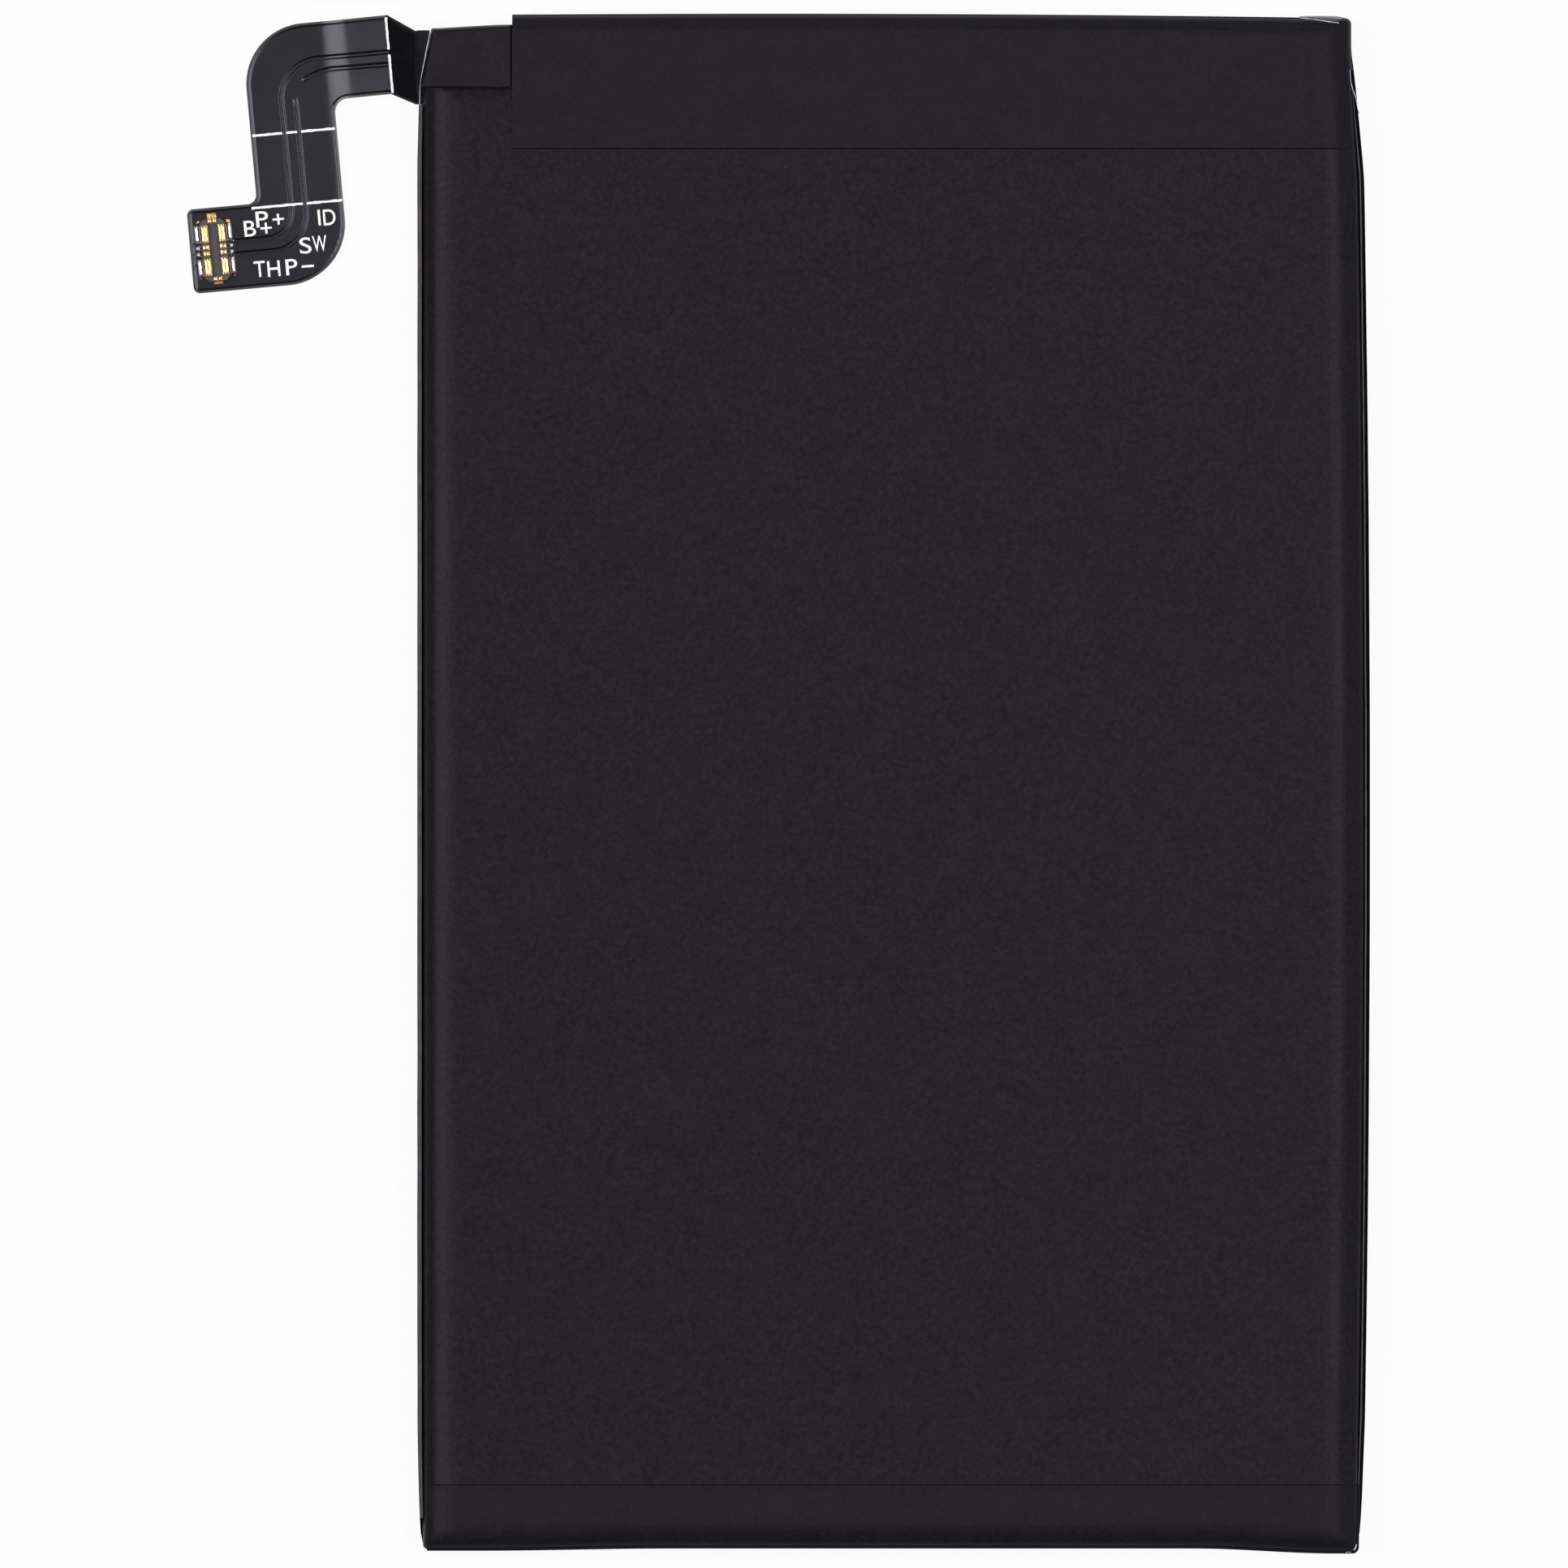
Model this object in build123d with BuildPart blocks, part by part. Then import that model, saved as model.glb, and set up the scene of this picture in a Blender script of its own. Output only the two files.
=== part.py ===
from build123d import *
from math import cos, radians, sin, tan
import os

os.makedirs("parts", exist_ok=True)

# A soft-pack phone battery lying on its back: a pouch cell, the protection board on
# the cell's terrace, the tapes that close the pack, and a bent flexible circuit that
# ends in a board-to-board connector. Millimetres, +X right, +Y towards the board end,
# +Z out of the face. The origin is the middle of the back face.

# Further out than anything on the pack, for cutting
far = 60.0

# The pack
cell_half_width = 29.75
cell_thickness = 4.8
pack_bottom_y = -48.3
cell_top_y = 44.7
pack_top_y = 48.5
side_bow = 0.5
draw_in_y = 38.0
draw_in_x = 29.42
draw_in_end_y = 46.3
board_end_x = 28.84
plan_corner = 0.7
shoulder_drop = 1.5
side_shoulder = 2.6
end_shoulder = 1.9
shoulder_steps = 7

# The side seals, folded up against the walls
seal_gap = 0.12
seal_thickness = 0.22
seal_top = 3.35
seal_root = 0.45
seal_bend = 0.35
left_seal_top_y = 42.8
right_seal_top_y = 45.9
right_seal_tip_x = 29.07
seal_inner_x = 25.0
seal_bevel_y = -46.4
seal_bevel = 0.45
seal_bevel_margin = 0.1

# The terrace, where the tabs leave the cell
terrace_thickness = 0.36
terrace_edge_y = 47.3
terrace_half_length = 28.2

# Tapes
tape = 0.1
corner_tape_thickness = 0.08
sleeve = 0.06
top_tape_left = -24.1
top_tape_lower_y = 40.0
corner_tape_lower_y = 43.9
corner_tape_end = 0.4
bottom_tape_line_y = -44.35
bottom_tape_left = -29.5
bottom_tape_right = 29.2
left_step_y = 47.6

# The board, its carrier and what stands on its two faces
board_left = -23.8
board_right = 28.2
board_low_y = 44.85
board_high_y = 47.5
board_thickness = 0.6
board_corner = 0.4
board_gap = 0.1
notch_radius = 0.4
left_notch_x = -17.3
right_notch_x = 25.7
carrier_wall = 0.35
carrier_floor = 0.4
carrier_left = -29.4
carrier_corner = 0.4
carrier_cells = 3
strip_thickness = 0.15
strip_inset_x = 0.3
strip_inset_y = 0.2
foam_gap = 0.02
weld_plate_thickness = 0.16
weld_plate_length = 5.0
weld_plate_depth = 2.0
weld_plate_corner = 0.2
tab_thickness = 0.1
tab_width = 4.0
tab_start_y = 45.2
tab_reach_y = 48.2
tab_bend = 0.45
tab_end_margin = 0.2
tab_seal_width = 6.4
tab_seal_thickness = 0.2
tab_seal_edge = 0.4
positive_tab_x = 17.0
negative_tab_x = -8.0

# The packages on the board: length, width and height, and where they are along it
transistors_size = (2.9, 1.8, 0.9)
transistors_x = 4.0
transistors_edge = 0.15
protection_ic_size = (1.6, 1.6, 0.7)
protection_ic_x = -0.5
protection_ic_edge = 0.1
fuse_size = (3.2, 1.6, 0.8)
fuse_x = 21.0
fuse_edge = 0.12
thermistor_size = (1.0, 0.5, 0.5)
thermistor_x = -14.0
resistor_size = (0.5, 1.0, 0.35)
resistors_x = (-11.0, -10.0, -5.5, 9.5)
capacitor_size = (0.6, 1.0, 0.55)
capacitors_x = (-18.5, -17.0, 7.5, 14.5)

# The flexible circuit, in the frame of its tail, which is turned a little in plan
flex_turn = 5.2
tail_x = -42.87
tail_y = 33.69
film_thickness = 0.17
flex_height = 6.0
strip_half_width = 20.0
strip_root = 12.0
copper_rise = 0.035
copper_start_u = 1.3
border = 0.2
groove_width = 0.3
outer_groove_v = 11.5
outer_groove_u = 5.0
outer_groove_tail_v = 0.42
inner_groove_v = 10.72
inner_groove_u = 5.92
inner_groove_tail_v = -0.4
groove_drift = 1.0
groove_crease = 0.5
outer_groove_bend = 2.4
outer_groove_heel = 1.75
inner_groove_bend = 1.8
inner_groove_heel = 2.3
copper_end_gap = 0.05
tail_left = -1.62
tail_top = 2.7
tail_bottom = -2.64
arm_left = 2.85
arm_right = 8.31
arm_low = 8.8
arm_high = 13.8
outer_bend = 3.85
heel_bend = 3.9
inner_bend = 0.87
crook_bend = 0.6
tail_corner = 0.42
crease_corner = 0.3
crease_skew = 0.1
flex_lie = 0.45
soft_bend_u = 9.0
soft_bend_radius = 4.5
soft_slope = 24
fold_u = 12.05
exit_u = 13.35
ramp_slope = 45
crease_radius = 0.3
flex_edge_x = -30.05
sleeve_left = -30.26
sleeve_right = -29.84
neck_x = -29.86
neck_low_y = 44.9
root_low_y = 42.87
root_high_y = 47.5
root_end_x = -20.6
stiffener_inset = 0.1
stiffener_corner = 0.3
stiffener_thickness = 0.3

# The connector, on the tail
connector_turn = 6.1
connector_x = -42.92
housing_half_width = 0.84
housing_half_length = 2.0
housing_height = 0.62
housing_floor = 0.22
housing_chamfer = 0.28
housing_edge = 0.05
cavity_half_width = 0.35
end_wall = 0.36
contact_thickness = 0.06
contact_tip = 0.73
contact_foot = 1.02
contact_bend = 0.08
contact_line_width = 0.08
contact_line_depth = 0.02
contact_line_margin = 0.06
power_length = 1.05
power_centre = 1.05
signal_length = 0.26
signal_centre = 0.195
clip_length = 0.56
clip_slot = 0.06
clip_pad_end = 1.71
long_clip_foot = 2.33
short_clip_foot = 2.14
solder_reach = 0.17
solder_height = 0.15
solder_sag = 0.03

# The bent circuit's middle surface climbs from the tail to the board
fold_z = flex_lie + (fold_u - soft_bend_u) * tan(radians(soft_slope))
exit_z = fold_z + (exit_u - fold_u) * tan(radians(ramp_slope))
film_top = flex_lie + film_thickness / 2
film_low = flex_lie - film_thickness / 2

# The board end stands on the terrace in layers
terrace_top = tape + terrace_thickness
terrace_middle = tape + terrace_thickness / 2
strip_top = terrace_top + strip_thickness
board_top = exit_z - film_thickness / 2
board_bottom = board_top - board_thickness
plate_top = board_top + weld_plate_thickness
sleeve_top = exit_z + film_thickness / 2 + sleeve
foam_low = max(sleeve_top, plate_top + tab_thickness) + foam_gap

# Directions of the turned planes
along_arm = (cos(radians(flex_turn)), sin(radians(flex_turn)), 0)
across_arm = (sin(radians(flex_turn)), -cos(radians(flex_turn)), 0)
flex_plane = Plane(origin=(tail_x, tail_y, 0), x_dir=along_arm, z_dir=(0, 0, 1))
flex_side = Plane(origin=(tail_x, tail_y, 0), x_dir=along_arm, z_dir=across_arm)
lean_x = (cos(radians(connector_turn)), sin(radians(connector_turn)), 0)
lean_y = (-sin(radians(connector_turn)), cos(radians(connector_turn)), 0)
lean_down = (sin(radians(connector_turn)), -cos(radians(connector_turn)), 0)
connector_foot = (connector_x, tail_y, film_top)
connector_plan = Plane(origin=connector_foot, x_dir=lean_x, z_dir=(0, 0, 1))
connector_section = Plane(origin=connector_foot, x_dir=lean_x, z_dir=lean_down)
connector_length = Plane(origin=connector_foot, x_dir=lean_y, z_dir=lean_x)

# Where the circuit's arm enters the pack, in the frame of the tail
arm_end_high = flex_plane.to_local_coords(Vector(flex_edge_x, root_high_y, 0))
arm_end_low = flex_plane.to_local_coords(Vector(flex_edge_x, root_low_y, 0))


def save(piece, name):
    piece.part.label = name
    export_step(piece.part, f"parts/{name}.step")


# The plan outline of the pack. The left side is straight. The right side is slightly
# bowed, and draws in towards the board end. grow moves the whole outline out, and the
# insets move it in.
def pack_outline(height, top_y, grow=0.0, side_inset=0.0, end_inset=0.0):
    left = -cell_half_width - grow + side_inset
    right = cell_half_width - side_bow + grow - side_inset
    low = pack_bottom_y - grow + end_inset
    high = top_y + grow - end_inset
    side_shift = grow - side_inset
    waist = (draw_in_x + side_shift, draw_in_y)
    has_straight_end = top_y > draw_in_end_y + 2 * plan_corner
    narrow_to = draw_in_end_y - end_inset if has_straight_end else high
    narrowing = (draw_in_x - board_end_x) / (draw_in_end_y - draw_in_y)
    end_x = draw_in_x + side_shift - narrowing * (narrow_to - draw_in_y)
    with BuildSketch(Plane.XY.offset(height)) as outline:
        with BuildLine():
            Line((left, low), (right, low))
            ThreePointArc((right, low), (right + side_bow, (low + draw_in_y) / 2), waist)
            Line(waist, (end_x, narrow_to))
            if has_straight_end:
                Line((end_x, narrow_to), (end_x, high))
            Polyline((end_x, high), (left, high), (left, low))
        make_face()
        corners = outline.vertices().group_by(Axis.Y)
        fillet(corners[0] + corners[-1], radius=plan_corner)
    return outline.sketch


# A pillow with the pack's outline: straight walls below, and a face that rolls over
# into them along a quarter of an ellipse, in narrow flats.
def pillow(top_y, grow=0.0):
    wall_top = cell_thickness - shoulder_drop
    with BuildPart() as body:
        add(pack_outline(-grow, top_y, grow))
        extrude(amount=wall_top + grow)
        for step in range(shoulder_steps + 1):
            angle = radians(90 * step / shoulder_steps)
            inset = 1 - cos(angle)
            rise = (shoulder_drop + grow) * sin(angle)
            add(pack_outline(wall_top + rise, top_y, grow, side_shoulder * inset, end_shoulder * inset))
        loft(ruled=True)
    return body.part


# A rectangular block between two corners
def block(low, high, mode=Mode.ADD):
    size = [b - a for a, b in zip(low, high)]
    middle = tuple((a + b) / 2 for a, b in zip(low, high))
    with Locations(middle):
        Box(*size, mode=mode)


# Cuts away a region that runs past the whole pack on every side that isn't given
def cut_away(x_from=-far, x_to=far, y_from=-far, y_to=far, z_from=-far, z_to=far):
    block((x_from, y_from, z_from), (x_to, y_to, z_to), Mode.SUBTRACT)


# Both long seals, turned up against the walls with a thin gap left between. Their
# lower ends are trimmed to a bevel beside the pack's bottom corners.
def side_seals():
    with BuildPart() as seals:
        add(pack_outline(0, pack_top_y, seal_gap + seal_thickness))
        extrude(amount=seal_top)
        fillet(seals.faces().sort_by(Axis.Z)[0].edges(), radius=seal_bend)
        add(pack_outline(seal_root, pack_top_y, seal_gap))
        extrude(amount=seal_top, mode=Mode.SUBTRACT)
        cut_away(x_from=-seal_inner_x, x_to=seal_inner_x)
        cut_away(x_to=0, y_from=left_seal_top_y)
        cut_away(x_from=0, y_from=right_seal_top_y)
        cut_away(x_from=0, x_to=right_seal_tip_x, y_from=cell_top_y)
        cut_away(y_to=pack_bottom_y + plan_corner)
        seal_reach = seal_gap + seal_thickness
        for side, corner_x in ((-1, cell_half_width), (1, cell_half_width - side_bow)):
            outer_x = corner_x + seal_reach
            with BuildSketch():
                with BuildLine():
                    Polyline(
                        (side * (outer_x + seal_bevel_margin), seal_bevel_y),
                        (side * (outer_x - seal_bevel), pack_bottom_y),
                        (side * far, pack_bottom_y),
                        (side * far, seal_bevel_y),
                        close=True,
                    )
                make_face()
            extrude(amount=seal_top, mode=Mode.SUBTRACT)
    return seals.part


# A skin of the given thickness over a pillow, sunk into its back so that the back
# stays in one plane
def skin(top_y, thickness):
    with BuildPart() as core:
        add(pillow(top_y))
        cut_away(z_to=thickness)
    with BuildPart() as shell:
        add(pillow(top_y, thickness))
        cut_away(z_to=0)
        add(core.part, mode=Mode.SUBTRACT)
    return shell.part


with BuildPart() as pouch_cell:
    add(pillow(cell_top_y))
    add(side_seals())
    cut_away(top_tape_left, board_end_x, y_from=top_tape_lower_y, z_to=tape)
    cut_away(bottom_tape_left, bottom_tape_right, y_to=bottom_tape_line_y, z_to=tape)
    block((-terrace_half_length, cell_top_y - 1, tape), (terrace_half_length, terrace_edge_y, terrace_top))
    for tab_x in (positive_tab_x, negative_tab_x):
        low_z = terrace_middle - tab_seal_thickness / 2
        low = (tab_x - tab_seal_width / 2, tab_start_y - tab_seal_edge, low_z)
        high = (tab_x + tab_seal_width / 2, far, low_z + tab_seal_thickness)
        block(low, high, Mode.SUBTRACT)
save(pouch_cell, "pouch_cell")

# The tape over the board end laps onto the face and the back. Beside the cell its
# right end stops at the face, and beside the board it is folded down.
with BuildPart() as top_tape:
    add(skin(pack_top_y, tape))
    cut_away(x_to=top_tape_left)
    cut_away(y_to=top_tape_lower_y)
    cut_away(x_from=board_end_x, y_to=cell_top_y)
save(top_tape, "top_tape")

with BuildPart() as bottom_tape:
    add(skin(cell_top_y, tape))
    cut_away(y_from=bottom_tape_line_y)
    cut_away(x_to=bottom_tape_left)
    cut_away(x_from=bottom_tape_right)
save(bottom_tape, "bottom_tape")

# The small tape on the corner where the flexible circuit comes out
with BuildPart() as corner_tape:
    add(skin(left_step_y, corner_tape_thickness))
    cut_away(x_from=top_tape_left)
    cut_away(y_to=corner_tape_lower_y)
    cut_away(z_to=corner_tape_end)
    cut_away(x_to=-cell_half_width + plan_corner, z_to=foam_low)
save(corner_tape, "corner_tape")

# The foam between the board and the tapes fills the pack's form above the tabs.
with BuildPart() as foam_spacer:
    add(pillow(pack_top_y))
    cut_away(x_to=top_tape_left)
    add(pillow(left_step_y))
    cut_away(y_to=board_low_y)
    cut_away(z_to=foam_low)
save(foam_spacer, "foam_spacer")

# The strip that sticks the carrier to the terrace
with BuildPart() as carrier_strip:
    low = (-terrace_half_length + strip_inset_x, board_low_y, terrace_top)
    block(low, (terrace_half_length - strip_inset_x, terrace_edge_y - strip_inset_y, strip_top))
save(carrier_strip, "carrier_strip")

# The carrier is an open tray in three cells, with a raised rest for the circuit.
with BuildPart() as board_carrier:
    block((carrier_left, board_low_y, strip_top), (board_right, board_high_y, board_bottom))
    block((carrier_left, board_low_y, strip_top), (board_left - board_gap, board_high_y, board_top))
    walls = carrier_cells + 1
    cell_length = (board_right - board_left - walls * carrier_wall) / carrier_cells
    for index in range(carrier_cells):
        low_x = board_left + carrier_wall + index * (cell_length + carrier_wall)
        low = (low_x, board_low_y + carrier_wall, strip_top + carrier_floor)
        block(low, (low_x + cell_length, board_high_y - carrier_wall, board_bottom), Mode.SUBTRACT)
    fillet(board_carrier.edges().filter_by(Axis.Z).group_by(Axis.X)[0], radius=carrier_corner)
save(board_carrier, "board_carrier")

with BuildPart() as protection_board:
    with BuildSketch(Plane.XY.offset(board_bottom)):
        board_centre = ((board_left + board_right) / 2, (board_low_y + board_high_y) / 2)
        with Locations(board_centre):
            RectangleRounded(board_right - board_left, board_high_y - board_low_y, board_corner)
        for notch_x in (left_notch_x, right_notch_x):
            with Locations((notch_x, board_high_y)):
                Circle(notch_radius, mode=Mode.SUBTRACT)
    extrude(amount=board_thickness)
save(protection_board, "protection_board")

# The parts on the board's lower face hang in the carrier's cells.
board_mid_y = (board_low_y + board_high_y) / 2


def package(size, centre_x, centre_y=board_mid_y, edge=0.0):
    with BuildPart(Plane.XY.offset(board_bottom)) as body:
        with Locations((centre_x, centre_y)):
            Box(*size, align=(Align.CENTER, Align.CENTER, Align.MAX))
        if edge:
            chamfer(body.faces().sort_by(Axis.Z)[0].edges(), length=edge)
    return body


save(package(transistors_size, transistors_x, edge=transistors_edge), "switch_transistors")
save(package(protection_ic_size, protection_ic_x, edge=protection_ic_edge), "protection_ic")
save(package(fuse_size, fuse_x, edge=fuse_edge), "cell_fuse")
save(package(thermistor_size, thermistor_x), "thermistor")


def chips(size, places):
    with BuildPart(Plane.XY.offset(board_bottom)) as group:
        with Locations(*places):
            Box(*size, align=(Align.CENTER, Align.CENTER, Align.MAX))
    return group


save(chips(resistor_size, [(x, board_mid_y) for x in resistors_x]), "chip_resistors")
save(chips(capacitor_size, [(x, board_mid_y) for x in capacitors_x]), "chip_capacitors")

# The weld plates on the board's upper face, and the cell's tabs folded over onto them
for name, tab_x in (("positive", positive_tab_x), ("negative", negative_tab_x)):
    with BuildPart() as weld_plate:
        with BuildSketch(Plane.XY.offset(board_top)):
            with Locations((tab_x, board_mid_y)):
                RectangleRounded(weld_plate_length, weld_plate_depth, weld_plate_corner)
        extrude(amount=weld_plate_thickness)
    save(weld_plate, f"weld_plate_{name}")

    with BuildPart() as tab:
        with BuildSketch(Plane.YZ.offset(tab_x - tab_width / 2)):
            with BuildLine():
                FilletPolyline(
                    (tab_start_y, terrace_middle),
                    (tab_reach_y, terrace_middle),
                    (tab_reach_y, plate_top + tab_thickness / 2),
                    (board_mid_y - weld_plate_depth / 2 + tab_end_margin, plate_top + tab_thickness / 2),
                    radius=tab_bend,
                )
            trace(line_width=tab_thickness)
        extrude(amount=tab_width)
    save(tab, f"{name}_tab")

    with BuildPart() as tab_seal:
        low_z = terrace_middle - tab_seal_thickness / 2
        low = (tab_x - tab_seal_width / 2, tab_start_y - tab_seal_edge, low_z)
        high = (tab_x + tab_seal_width / 2, terrace_edge_y + tab_seal_edge, low_z + tab_seal_thickness)
        block(low, high)
        low = (tab_x - tab_width / 2, tab_start_y, terrace_middle - tab_thickness / 2)
        high = (tab_x + tab_width / 2, pack_top_y, terrace_middle + tab_thickness / 2)
        block(low, high, Mode.SUBTRACT)
    save(tab_seal, f"tab_seal_{name}")


# The circuit's plan: an arm that leaves the pack, turns down in a wide bend, and
# turns again into the short tail that carries the connector.
def flex_outline():
    with BuildSketch(flex_plane) as outline:
        with BuildLine() as edge:
            FilletPolyline(
                (arm_end_high.X, arm_end_high.Y),
                (fold_u + crease_skew, arm_high),
                (arm_left, arm_high),
                (arm_left, tail_top),
                (tail_left, tail_top),
                (tail_left, tail_bottom),
                (arm_right, tail_bottom),
                (arm_right, arm_low),
                (fold_u - crease_skew, arm_low),
                (arm_end_low.X, arm_end_low.Y),
                radius=[crease_corner, outer_bend, crook_bend, tail_corner, tail_corner,
                        heel_bend, inner_bend, crease_corner],
            )
            Line(edge.wire() @ 1, edge.wire() @ 0)
        make_face()
    return outline


# A strip that follows the circuit's bends: flat at the tail, a soft bend upwards, a
# sharp fold, a steep ramp and a level root.
def bent_strip(thickness):
    with BuildPart() as strip:
        with BuildSketch(flex_side):
            with BuildLine():
                FilletPolyline(
                    (tail_left - 1, flex_lie),
                    (soft_bend_u, flex_lie),
                    (fold_u, fold_z),
                    (exit_u, exit_z),
                    (exit_u + strip_root, exit_z),
                    radius=[soft_bend_radius, crease_radius, crease_radius],
                )
            trace(line_width=thickness)
        extrude(amount=strip_half_width, both=True)
    return strip.part


# Wide copper fields lie under the cover film, with two narrow grooves between them.
with BuildPart(mode=Mode.PRIVATE) as copper_fields:
    with BuildSketch(flex_plane):
        add(flex_outline().sketch_local)
        offset(amount=-border)
        with BuildLine(mode=Mode.PRIVATE) as outer_groove:
            FilletPolyline(
                (exit_u + groove_drift, outer_groove_v - groove_drift),
                (fold_u, outer_groove_v),
                (outer_groove_u, outer_groove_v),
                (outer_groove_u, outer_groove_tail_v),
                (0, outer_groove_tail_v),
                radius=[groove_crease, outer_groove_bend, outer_groove_heel],
            )
        with BuildLine(mode=Mode.PRIVATE) as inner_groove:
            FilletPolyline(
                (exit_u + groove_drift, inner_groove_v - groove_drift),
                (fold_u, inner_groove_v),
                (inner_groove_u, inner_groove_v),
                (inner_groove_u, inner_groove_tail_v),
                (0, inner_groove_tail_v),
                radius=[groove_crease, inner_groove_bend, inner_groove_heel],
            )
        trace(outer_groove.line, line_width=groove_width, mode=Mode.SUBTRACT)
        trace(inner_groove.line, line_width=groove_width, mode=Mode.SUBTRACT)
        with Locations((copper_start_u, 0)):
            Rectangle(far, far, align=(Align.MAX, Align.CENTER), mode=Mode.SUBTRACT)
    extrude(amount=flex_height)
    add(bent_strip(film_thickness + 2 * copper_rise), mode=Mode.INTERSECT)
    cut_away(x_from=sleeve_left - copper_end_gap)

with BuildPart() as flex_circuit:
    add(flex_outline().sketch)
    extrude(amount=flex_height)
    block((flex_edge_x, root_low_y, 0), (neck_x, root_high_y, flex_height))
    block((neck_x, neck_low_y, 0), (root_end_x, root_high_y, flex_height))
    add(bent_strip(film_thickness), mode=Mode.INTERSECT)
    add(copper_fields.part)
save(flex_circuit, "flex_circuit")

# The tape sleeve wound round the circuit where it leaves the pack
with BuildPart() as flex_sleeve:
    low = (sleeve_left, root_low_y - sleeve, board_top - sleeve)
    block(low, (sleeve_right, root_high_y + sleeve, sleeve_top))
    cut_away(y_from=root_low_y, y_to=root_high_y, z_from=board_top, z_to=sleeve_top - sleeve)
save(flex_sleeve, "flex_sleeve")

with BuildPart() as connector_stiffener:
    with BuildSketch(flex_plane.offset(film_low)):
        with Locations(((tail_left + copper_start_u) / 2, (tail_top + tail_bottom) / 2)):
            stiffener_length = copper_start_u - tail_left - 2 * stiffener_inset
            stiffener_width = tail_top - tail_bottom - 2 * stiffener_inset
            RectangleRounded(stiffener_length, stiffener_width, stiffener_corner)
    extrude(amount=-stiffener_thickness)
save(connector_stiffener, "connector_stiffener")


# A contact lies flat under the connector's wall, turns up inside it and over its top.
# Its top has a pressed line along the middle. side is -1 for the left row and 1 for the
# right one.
def contact(side, centre_v, length):
    middle = contact_thickness / 2
    over = housing_height + middle
    inner = cavity_half_width - middle
    with BuildPart() as strip:
        with BuildSketch(connector_section.offset(-centre_v - length / 2)):
            with BuildLine():
                FilletPolyline(
                    (side * contact_foot, middle),
                    (side * inner, middle),
                    (side * inner, over),
                    (side * contact_tip, over),
                    radius=contact_bend,
                )
            trace(line_width=contact_thickness)
        extrude(amount=length)
        line_plane = connector_plan.offset(housing_height + contact_thickness - contact_line_depth)
        with BuildSketch(line_plane):
            with Locations((side * (cavity_half_width + contact_tip) / 2, centre_v)):
                Rectangle(contact_line_width, length - 2 * contact_line_margin)
        extrude(amount=contact_thickness, mode=Mode.SUBTRACT)
    return strip


# A clip over an end wall, with two pads on top and a foot soldered to the circuit.
# end is 1 for the upper end and -1 for the lower one.
def clip(end, foot):
    middle = contact_thickness / 2
    over = housing_height + middle
    with BuildPart() as strip:
        with BuildSketch(connector_length.offset(-clip_length / 2)):
            with BuildLine():
                FilletPolyline(
                    (end * foot, middle),
                    (end * (housing_half_length + middle), middle),
                    (end * (housing_half_length + middle), over),
                    (end * clip_pad_end, over),
                    radius=contact_bend,
                )
            trace(line_width=contact_thickness)
        extrude(amount=clip_length)
        with BuildSketch(connector_plan.offset(housing_height / 2)):
            with Locations((0, end * housing_half_length)):
                Rectangle(clip_slot, 1)
        extrude(amount=housing_height, mode=Mode.SUBTRACT)
    return strip


# A long power contact and a short signal contact stand in each quarter.
quarters = ((-1, 1), (1, 1), (-1, -1), (1, -1))
for number, (side, end) in enumerate(quarters, start=1):
    save(contact(side, end * power_centre, power_length), f"power_contact_{number}")
    save(contact(side, end * signal_centre, signal_length), f"signal_contact_{number}")
save(clip(1, long_clip_foot), "end_clip_upper")
save(clip(-1, short_clip_foot), "end_clip_lower")

# Where along the connector each row has a contact, and how long the contact is
contact_places = [(end * power_centre, power_length) for end in (-1, 1)]
contact_places += [(end * signal_centre, signal_length) for end in (-1, 1)]

# The connector's moulding is a long tray with a wall round an open middle, moulded
# round the contacts.
with BuildPart() as connector_housing:
    with BuildSketch(connector_plan) as plan:
        Rectangle(2 * housing_half_width, 2 * housing_half_length)
        chamfer(plan.vertices(), length=housing_chamfer)
    extrude(amount=housing_height)
    chamfer(connector_housing.faces().sort_by(Axis.Z)[-1].edges(), length=housing_edge)
    with BuildSketch(connector_plan.offset(housing_floor)):
        Rectangle(2 * cavity_half_width, 2 * (housing_half_length - end_wall))
    extrude(amount=housing_height, mode=Mode.SUBTRACT)
    for side in (-1, 1):
        for centre_v, length in contact_places:
            with BuildSketch(connector_section.offset(-centre_v - length / 2)):
                under_wall = housing_half_width - cavity_half_width + contact_thickness
                with Locations((side * (cavity_half_width - contact_thickness + under_wall / 2), 0)):
                    Rectangle(under_wall, 2 * contact_thickness)
                with Locations((side * (cavity_half_width - contact_thickness / 2), 0)):
                    Rectangle(contact_thickness, 2 * housing_floor)
            extrude(amount=length, mode=Mode.SUBTRACT)
save(connector_housing, "connector_housing")

# A small wedge of solder at the foot of every contact
with BuildPart() as solder_joints:
    for side in (-1, 1):
        for centre_v, length in contact_places:
            with BuildSketch(connector_section.offset(-centre_v - length / 2)):
                with BuildLine():
                    Line((side * contact_foot, 0), (side * contact_foot, solder_height))
                    reach = side * (contact_foot + solder_reach)
                    SagittaArc((side * contact_foot, solder_height), (reach, 0), side * solder_sag)
                    Line((reach, 0), (side * contact_foot, 0))
                make_face()
            extrude(amount=length)
save(solder_joints, "solder_joints")
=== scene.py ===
import math

import bmesh
import bpy
from mathutils import Matrix, Vector, noise
from mathutils.bvhtree import BVHTree
from mathutils.geometry import interpolate_bezier
from mathutils.kdtree import KDTree


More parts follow.
